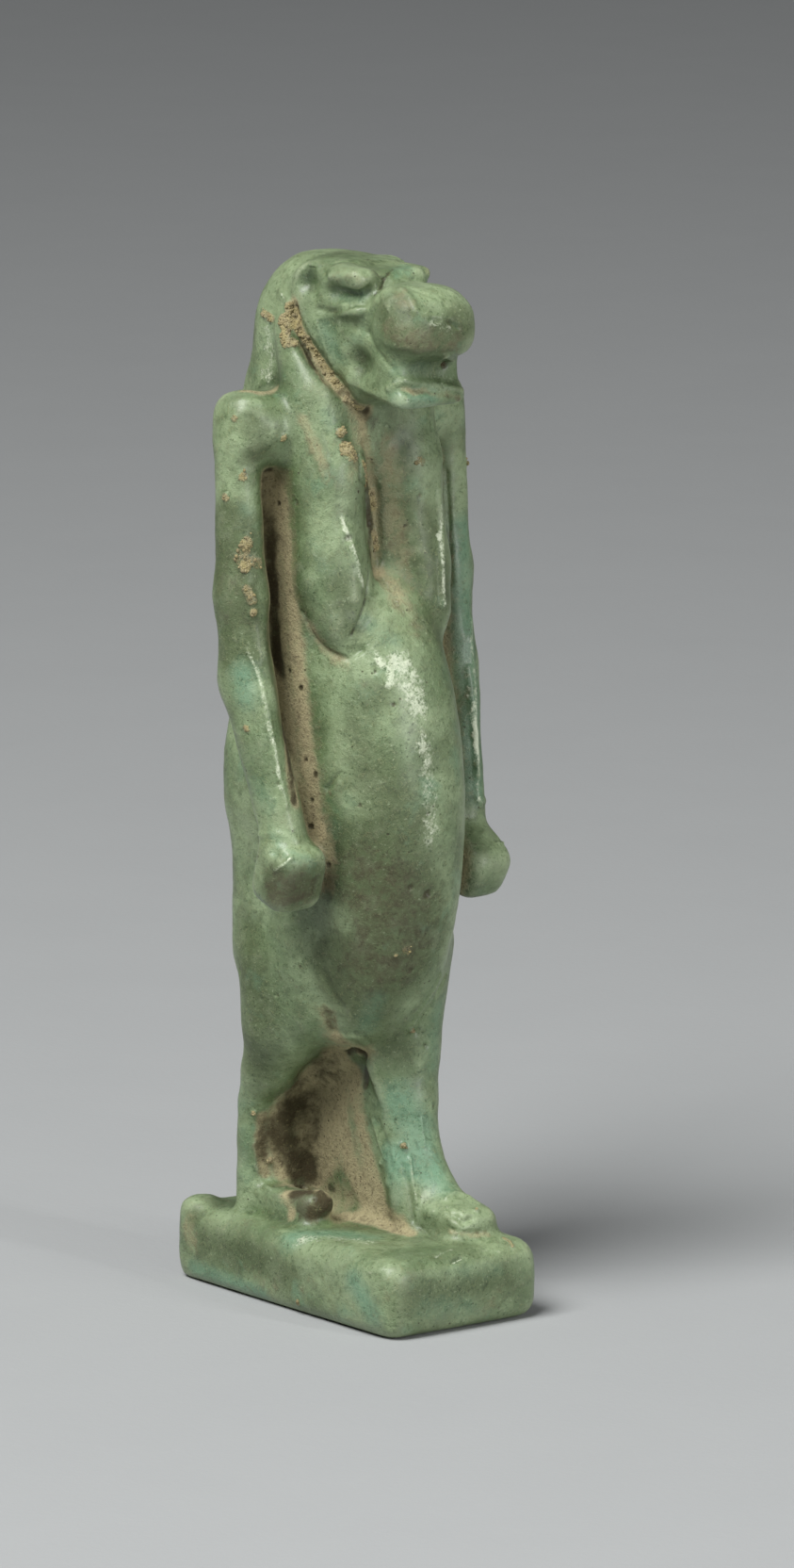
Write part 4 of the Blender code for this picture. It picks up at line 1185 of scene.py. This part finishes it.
class Faience(Finish):
    """The fired body's finish: its glaze, and what lies on it in turn.

    The patterns and shares that more than one layer uses are made first.
    """

    def __init__(self, settings):
        super().__init__("faience glaze")
        self.settings = settings
        nodes = self.nodes
        self.large = self.clouds(size=4.2, seed=1.0)
        self.middle = self.clouds(size=1.4, seed=2.0, ragged=0.62)
        self.small = self.clouds(size=0.45, seed=3.0, ragged=0.65)
        self.fleck = self.clouds(size=0.14, seed=4.0, ragged=0.6)
        self.net = self.threads(size=0.34, width=0.035)
        self.opened = self.mask("open")
        self.hollow = nodes.math("SUBTRACT", 1.0, self.opened)
        self.olive = self.broken(self.mask("olived"), self.middle, 0.22, 0.05, 1.10)
        self.soil = self.soil_share()
        self.crust = self.broken(self.mask("crusted"), self.fleck, 0.32, 0.30, 0.70)
        # The darkened channel holds dark soil and stains, and also painted shade.
        blotched = nodes.times(self.mask("darkened"), nodes.plus(self.small, self.middle, 0.2))
        self.stain_and_shade = self.broken(blotched, self.small, 0.35, 0.10, 1.50)
        self.tiny = self.pores(spacing=0.34, radius=0.055, share=nodes.between(self.soil, 0.10, 0.40))
        self.wide = self.pores(spacing=1.9, radius=0.10, share=0.20)
        self.pitted = nodes.largest(nodes.times(self.tiny["Mask"], 0.75), self.wide["Mask"])

    def soil_share(self):
        """How far soil hides the glaze: round its marks, and in the deepest hollows."""
        nodes = self.nodes
        hidden = nodes.times(self.broken(self.hollow, self.small, 0.14, 0.34, 0.78), 0.85)
        sheltered = nodes.between(nodes.ramp(self.opened, 0.98, 0.86), 0.70, 1.00)
        patchy = nodes.plus(nodes.around(self.middle, 0.18), nodes.around(self.small, 0.25))
        film = nodes.plus(nodes.times(self.mask("soiled"), sheltered), patchy)
        return nodes.largest(nodes.ramp(film, 0.12, 1.0), hidden)

    def glazed(self):
        """Two greens with olive and turquoise, darkened in hollows as pooled glaze and painted shade,
        thin on edges, and flecked.
        """
        own, nodes, laid = self.settings, self.nodes, self.laid
        ramp = nodes.ramp

        def wild(size, seed, low, high):
            """Faint patches that no mark gives."""
            return nodes.times(ramp(self.clouds(size, seed, ragged=0.6), low, high), 0.5)

        greens = self.broken(self.large, self.middle, 0.25, 0.25, 0.80)
        colour = nodes.mix(greens, own.pale, own.middle)
        # The olive layer also lays painted shade on the lower belly and round the near fist.
        olive = nodes.largest(self.olive, wild(2.6, 7.0, 0.50, 0.90))
        colour = laid(colour, own.olive, 0.85, olive)
        blued = self.broken(self.mask("blued"), self.small, 0.25, 0.15, 1.05)
        blue = nodes.largest(blued, wild(2.3, 9.0, 0.62, 0.95))
        colour = laid(colour, own.turquoise, 0.80, blue)
        # Painted shade: the glaze is multiplied darker where the skin is sunken or sees little sky,
        # partly as pooled glaze.
        sunken = ramp(nodes.times(self.mask("bulge"), -1.0), 0.0, 0.30)
        pooled_and_shaded = nodes.largest(sunken, ramp(self.opened, 0.96, 0.50))
        colour = laid(colour, own.pooled_and_shaded, 0.90, pooled_and_shaded, "MULTIPLY")
        colour = laid(colour, own.pooled_and_shaded, 0.60, ramp(self.small, 0.40, 0.90), "MULTIPLY")
        thin = self.broken(self.mask("edge"), self.small, 0.03, 0.015, 0.10)
        colour = laid(colour, own.bare, 0.50, thin)
        colour = laid(colour, own.bare, 0.20, ramp(self.middle, 0.45, 0.95))
        netted = nodes.times(self.net, ramp(self.small, 0.25, 0.75))
        colour = laid(colour, own.thread, 0.28, netted)
        colour = laid(colour, own.bare, 0.38, ramp(self.fleck, 0.66, 0.90))
        colour = laid(colour, own.pooled_and_shaded, 0.75, ramp(self.fleck, 0.40, 0.12), "MULTIPLY")
        patches = ramp(self.clouds(size=1.7, seed=11.0, ragged=0.68), 0.40, 0.90)
        grime = nodes.times(patches, ramp(self.fleck, 0.20, 0.70))
        return laid(colour, own.dust, 0.45, grime, "MULTIPLY")

    def soiled(self, colour):
        """Light dust and dark soil over the glaze, with specks of both. The soil turns darker towards
        hollows and where the darkened channel is strong, partly as painted shade.
        """
        own, nodes, laid = self.settings, self.nodes, self.laid
        ramp = nodes.ramp
        uneven = nodes.around(self.middle, 0.50)
        deep_and_shaded = nodes.plus(nodes.times(self.hollow, 0.55), uneven, self.mask("darkened"))
        brown = nodes.mix(ramp(deep_and_shaded, 0.25, 1.25), own.dust, own.soil)
        brown = laid(brown, own.soil, 0.45, ramp(self.small, 0.45, 0.90))
        brown = laid(brown, own.soil, 0.55, ramp(self.fleck, 0.55, 0.85))
        brown = laid(brown, own.crust, 0.60, ramp(self.fleck, 0.35, 0.10))
        return laid(colour, brown, nodes.between(self.fleck, 0.75, 1.00), self.soil)

    def stained(self, colour):
        """Dark soil in the pores, and dark stains, which in places are painted shade."""
        dark = self.nodes.largest(self.pitted, self.nodes.times(self.stain_and_shade, 0.8))
        return self.laid(colour, self.settings.soil, 0.85, dark)

    def crusted(self, colour):
        """Tan, speckled crust."""
        own, nodes, laid = self.settings, self.nodes, self.laid
        tan = nodes.mix(nodes.ramp(self.small, 0.20, 0.80), own.crust, own.dust)
        tan = laid(tan, own.soil, 0.60, nodes.ramp(self.fleck, 0.60, 0.90))
        return laid(colour, tan, 0.90, self.crust)

    def worn(self, colour):
        """White paste where the glaze is rubbed through, and painted highlights on ridges and swells, in
        specks and small patches.
        """
        nodes = self.nodes
        rubbed = nodes.times(self.mask("worn"), nodes.plus(self.small, self.fleck))
        return self.laid(colour, self.settings.worn, 0.75, nodes.ramp(rubbed, 0.55, 1.15))

    def gloss(self):
        """Satin where the glaze is clean, and dull on soil, crust, pores and olive stains."""
        nodes = self.nodes
        dull = nodes.largest(
            self.soil, self.crust, nodes.times(self.pitted, 0.6), nodes.times(self.olive, 0.4)
        )
        satin = nodes.between(self.middle, 0.42, 0.62)
        coat = nodes.between(self.middle, 0.15, 0.55)
        self.wire("Roughness", nodes.math("MULTIPLY_ADD", dull, 0.40, satin))
        self.wire("Coat Weight", nodes.times(nodes.without(dull), coat))
        self.wire("Coat Roughness", 0.32)
        self.wire("Specular IOR Level", 0.45)

    def height(self):
        """The finest relief, in millimetres: unevenness, grain, threads, pores, stains and grit."""
        nodes = self.nodes
        grit = nodes.times(nodes.largest(self.crust, nodes.times(self.soil, 0.5)), self.fleck)
        return nodes.plus(
            nodes.times(nodes.math("SUBTRACT", self.small, 0.5), 0.040),
            nodes.times(nodes.math("SUBTRACT", self.fleck, 0.5), 0.016),
            self.grain(size=0.07, height=0.012),
            nodes.times(self.net, 0.004),
            nodes.times(self.tiny["Depth"], -PIT_DEPTH),
            nodes.times(self.wide["Depth"], -PIT_DEPTH),
            nodes.times(self.stain_and_shade, -0.02),
            nodes.times(grit, 0.08),
        )


def faience_material(settings):
    """Sage green glaze, soiled in its grooves, crusted in places and rubbed pale on its edges, with
    painted shade darkening its hollows and painted highlights on some ridges.
    """
    finish = Faience(settings)
    colour = finish.glazed()
    for layer in (finish.soiled, finish.stained, finish.crusted, finish.worn):
        colour = layer(colour)
    finish.wire("Base Color", colour)
    finish.gloss()
    finish.bump(finish.height())
    return finish.material


def crust_material(settings):
    """Dried soil: rough, tan and speckled."""
    finish = Finish("dried soil")
    nodes = finish.nodes
    patch = finish.clouds(size=0.6, seed=5.0)
    speck = finish.clouds(size=0.12, seed=6.0)
    colour = nodes.mix(nodes.ramp(patch, 0.20, 0.80), settings.crust, settings.dust)
    colour = finish.laid(colour, settings.soil, 0.50, nodes.ramp(finish.mask("tint"), 0.20, 1.00))
    colour = finish.laid(colour, settings.soil, 0.30, nodes.ramp(speck, 0.50, 0.90))
    finish.wire("Base Color", colour)
    finish.wire("Roughness", nodes.between(speck, 0.80, 0.95))
    finish.bump(finish.grain(size=0.06, height=0.04))
    return finish.material


def floor_material(settings):
    """A plain matt board."""
    finish = Finish("plain floor")
    mottle = finish.clouds(size=9.0, seed=8.0)
    finish.wire("Base Color", finish.laid(settings.floor_colour, settings.floor_shade, 0.10, mottle))
    finish.wire("Roughness", 0.9)
    finish.bump(finish.grain(size=0.5, height=0.02))
    return finish.material


# The add-on.


def length_setting(name, description, default):
    """A length in metres."""
    return FloatProperty(
        name=name, description=description, default=default, min=0.0, unit="LENGTH", precision=5
    )


def power_setting(name, description, default):
    """A lamp's power in watts."""
    return FloatProperty(name=name, description=description, default=default, min=0.0, unit="POWER")


def colour_setting(name, description, red, green, blue):
    """A colour given in 0 to 255."""
    return FloatVectorProperty(
        name=name,
        description=description,
        subtype="COLOR",
        size=3,
        default=srgb(red, green, blue),
        min=0,
        max=1,
    )


class AmuletBodySettings(bpy.types.PropertyGroup):
    """The body's mesh and finish."""

    fineness: length_setting("Fineness", "Side of the mesh's faces", 0.22 * MM)
    fine_margin: length_setting("Fine margin", "Width of finer mesh round the small marks", 0.32 * MM)
    smoothing: IntProperty(
        name="Smoothing", description="Rounds of smoothing of the remade skin", default=4, min=0
    )
    wave_height: length_setting("Unevenness", "Height of the slow waves in the skin", 0.06 * MM)
    dent_height: length_setting("Dents", "Height of the small dents in the skin", 0.03 * MM)
    crust_height: length_setting("Crust", "Thickness of the dried soil", 0.15 * MM)
    pale: colour_setting("Pale glaze", "Thin glaze on the open faces", 133, 150, 113)
    middle: colour_setting("Green glaze", "The glaze's usual green", 96, 115, 79)
    # This olive also serves as painted shade on the lower belly and round the near fist.
    olive: colour_setting("Olive glaze", "Glaze stained by the ground", 72, 85, 51)
    turquoise: colour_setting("Turquoise glaze", "Thick glaze", 99, 138, 112)
    # This tint darkens the glaze in hollows, as pooled glaze and as painted shade, and in random patches
    # and flecks.
    pooled_and_shaded: colour_setting("Pooled glaze", "Tint of the glaze in hollows", 136, 154, 118)
    bare: colour_setting("Bare edge", "Edges where the glaze is thin", 160, 172, 140)
    thread: colour_setting("Threads", "Fine pale threads in the glaze", 154, 158, 112)
    # This white is both the paste under rubbed glaze and the colour of the painted highlights.
    worn: colour_setting("Worn through", "White paste under the glaze", 204, 212, 186)
    dust: colour_setting("Dust", "Light soil", 163, 152, 117)
    soil: colour_setting("Soil", "Dark soil in the hollows", 58, 49, 27)
    crust: colour_setting("Crust", "Dried lumps of soil", 162, 150, 104)


class AmuletSoilSettings(bpy.types.PropertyGroup):
    """The crumbs of dried soil."""

    most: FloatProperty(
        name="Crumbs", description="Most crumbs on a square millimetre of crust", default=40.0, min=0.0
    )
    smallest: length_setting("Smallest", "Radius of the smallest crumb", 0.02 * MM)
    largest: length_setting("Largest", "Radius of the largest crumb", 0.13 * MM)
    seed: IntProperty(name="Seed", description="Another strewing of the same crumbs", default=5)


class AmuletStageSettings(bpy.types.PropertyGroup):
    """The floor, the lights and the camera."""

    distance: FloatProperty(
        name="Camera distance",
        description="From the camera to the middle of the amulet",
        default=0.6,
        unit="LENGTH",
    )
    floor_size: FloatProperty(
        name="Floor size", description="Side of the square floor", default=3.0, unit="LENGTH"
    )
    floor_colour: colour_setting("Floor", "The plain pale floor", 158, 160, 160)
    floor_shade: colour_setting("Floor shade", "The floor's faint mottling", 138, 140, 141)
    key_power: power_setting("Key light", "Power of the large light at the top left", 5.0)
    side_power: power_setting("Side light", "Power of the narrow light on the right", 1.0)
    fill_power: power_setting("Fill light", "Power of the broad light on the right", 0.6)
    sky_strength: FloatProperty(
        name="Surroundings", description="Strength of the even light all round", default=0.14, min=0.0
    )


class AMULET_OT_body(bpy.types.Operator):
    """Makes the fired faience body from the solid's skin."""

    bl_idname = "amulet.body"
    bl_label = "Faience Body"

    def execute(self, context):
        settings = context.scene.amulet_body
        body = blank(settings.fineness)
        relax(body, settings.smoothing)
        sight = Sight(body, context.scene.amulet_stage.distance)
        guides = [Guide(channel, marks, sight) for channel, marks in CHANNELS.items()]
        refine(body, guides, settings.fine_margin)
        relax(body, ROUNDS_AFTER_SPLITTING)
        press_marks(body, guides)
        grow_with(
            body,
            relief_tree(),
            Wave_height=settings.wave_height,
            Dent_height=settings.dent_height,
            Crust_height=settings.crust_height,
            Lowest=LOW,
            Highest=HIGH,
        )
        grow_with(body, openness_tree())
        grown(body)
        body.data.shade_smooth()
        body.data.materials.append(faience_material(settings))
        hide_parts(NODE)
        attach(body, BODY)
        return {"FINISHED"}


class AMULET_OT_soil(bpy.types.Operator):
    """Strews the crumbs of dried soil that cling to the body."""

    bl_idname = "amulet.soil"
    bl_label = "Soil Crumbs"

    def execute(self, context):
        settings = context.scene.amulet_soil
        body = bpy.data.objects["faience_body"]
        crumbs = add_object("soil_crumbs", body.data.copy())
        crumbs.data.materials.clear()
        grow_with(
            crumbs,
            crumbs_tree(),
            Most=settings.most / MM**2,
            Smallest=settings.smallest,
            Largest=settings.largest,
            Seed=settings.seed,
            Material=crust_material(context.scene.amulet_body),
        )
        grown(crumbs)
        crumbs.data.shade_smooth()
        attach(crumbs, BODY)
        return {"FINISHED"}


class AMULET_OT_stage(bpy.types.Operator):
    """Makes the floor, the lights and the camera."""

    bl_idname = "amulet.stage"
    bl_label = "Stage"

    def execute(self, context):
        settings = context.scene.amulet_stage
        make_floor(settings)
        make_lights(settings)
        make_camera(settings)
        context.scene.view_settings.view_transform = "Standard"
        return {"FINISHED"}


def make_floor(settings):
    """A square, flat floor under the amulet."""
    mesh = bpy.data.meshes.new("floor")
    work = bmesh.new()
    bmesh.ops.create_grid(work, x_segments=1, y_segments=1, size=settings.floor_size / 2)
    work.to_mesh(mesh)
    work.free()
    floor = add_object("floor", mesh)
    mesh.materials.append(floor_material(settings))


# Each lamp's place, in metres from the middle of the amulet as the camera sees it, and its size.
Lamp = namedtuple("Lamp", "right toward up width height")
LAMPS = {
    "key": Lamp(-0.20, 0.25, 0.46, 0.30, 0.30),
    "side": Lamp(0.38, 0.32, 0.12, 0.025, 0.25),
    "fill": Lamp(0.30, 0.45, 0.06, 0.35, 0.35),
}
SKY_COLOUR = (0.80, 0.82, 0.84, 1)


def make_lamp(name, lamp, power):
    """A soft area light aimed at the amulet."""
    right = Vector((math.cos(AZIMUTH), math.sin(AZIMUTH), 0))
    toward = Vector((math.sin(AZIMUTH), -math.cos(AZIMUTH), 0))
    light = bpy.data.lights.new(name, "AREA")
    light.shape = "RECTANGLE"
    light.size, light.size_y = lamp.width, lamp.height
    light.energy = power
    obj = add_object(name, light)
    obj.location = AIM + lamp.right * right + lamp.toward * toward + Vector((0, 0, lamp.up))
    obj.rotation_euler = (AIM - obj.location).to_track_quat("-Z", "Y").to_euler()


def make_lights(settings):
    """The lamps, and a faint even light all round."""
    for name, lamp in LAMPS.items():
        make_lamp(name, lamp, getattr(settings, name + "_power"))
    world = bpy.data.worlds.new("soft surroundings")
    world.use_nodes = True
    sky = world.node_tree.nodes["Background"]
    sky.inputs["Color"].default_value = SKY_COLOUR
    sky.inputs["Strength"].default_value = settings.sky_strength
    bpy.context.scene.world = world


def make_camera(settings):
    """A camera that frames the amulet as the photograph does."""
    data = bpy.data.cameras.new("camera")
    camera = add_object("camera", data)
    back = toward_camera()
    camera.location = AIM + back * settings.distance
    camera.rotation_mode = "QUATERNION"
    camera.rotation_quaternion = (-back).to_track_quat("-Z", "Y")
    width, height = PHOTO_SIZE
    data.sensor_fit = "VERTICAL"
    data.sensor_height = SENSOR
    data.lens = SENSOR * settings.distance / (height / PIXELS_PER_MM * MM)
    data.shift_x = (width / 2 - AIM_PIXEL[0]) / height
    data.shift_y = (AIM_PIXEL[1] - height / 2) / height
    data.clip_start = CLIP_START
    bpy.context.scene.camera = camera


class AMULET_PT_panel(bpy.types.Panel):
    """The steps in their order, each with its settings."""

    bl_label = "Amulet"
    bl_idname = "AMULET_PT_panel"
    bl_space_type = "VIEW_3D"
    bl_region_type = "UI"
    bl_category = "Amulet"

    def draw(self, context):
        for operator, group in STEPS:
            box = self.layout.box()
            box.operator(operator.bl_idname)
            settings = getattr(context.scene, group)
            for name in settings.bl_rna.properties.keys():
                if name not in {"rna_type", "name"}:
                    box.prop(settings, name)


STEPS = (
    (AMULET_OT_body, "amulet_body"),
    (AMULET_OT_soil, "amulet_soil"),
    (AMULET_OT_stage, "amulet_stage"),
)
GROUPS = {
    "amulet_body": AmuletBodySettings,
    "amulet_soil": AmuletSoilSettings,
    "amulet_stage": AmuletStageSettings,
}
CLASSES = (*GROUPS.values(), *(operator for operator, group in STEPS), AMULET_PT_panel)


def register():
    """Makes the add-on's classes and settings known."""
    for each in CLASSES:
        bpy.utils.register_class(each)
    for name, group in GROUPS.items():
        setattr(bpy.types.Scene, name, PointerProperty(type=group))


def unregister():
    """Takes them away again."""
    for name in GROUPS:
        delattr(bpy.types.Scene, name)
    for each in reversed(CLASSES):
        bpy.utils.unregister_class(each)


def main():
    """Registers the add-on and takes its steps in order."""
    register()
    bpy.ops.amulet.body()
    bpy.ops.amulet.soil()
    bpy.ops.amulet.stage()


if __name__ == "__main__":
    main()
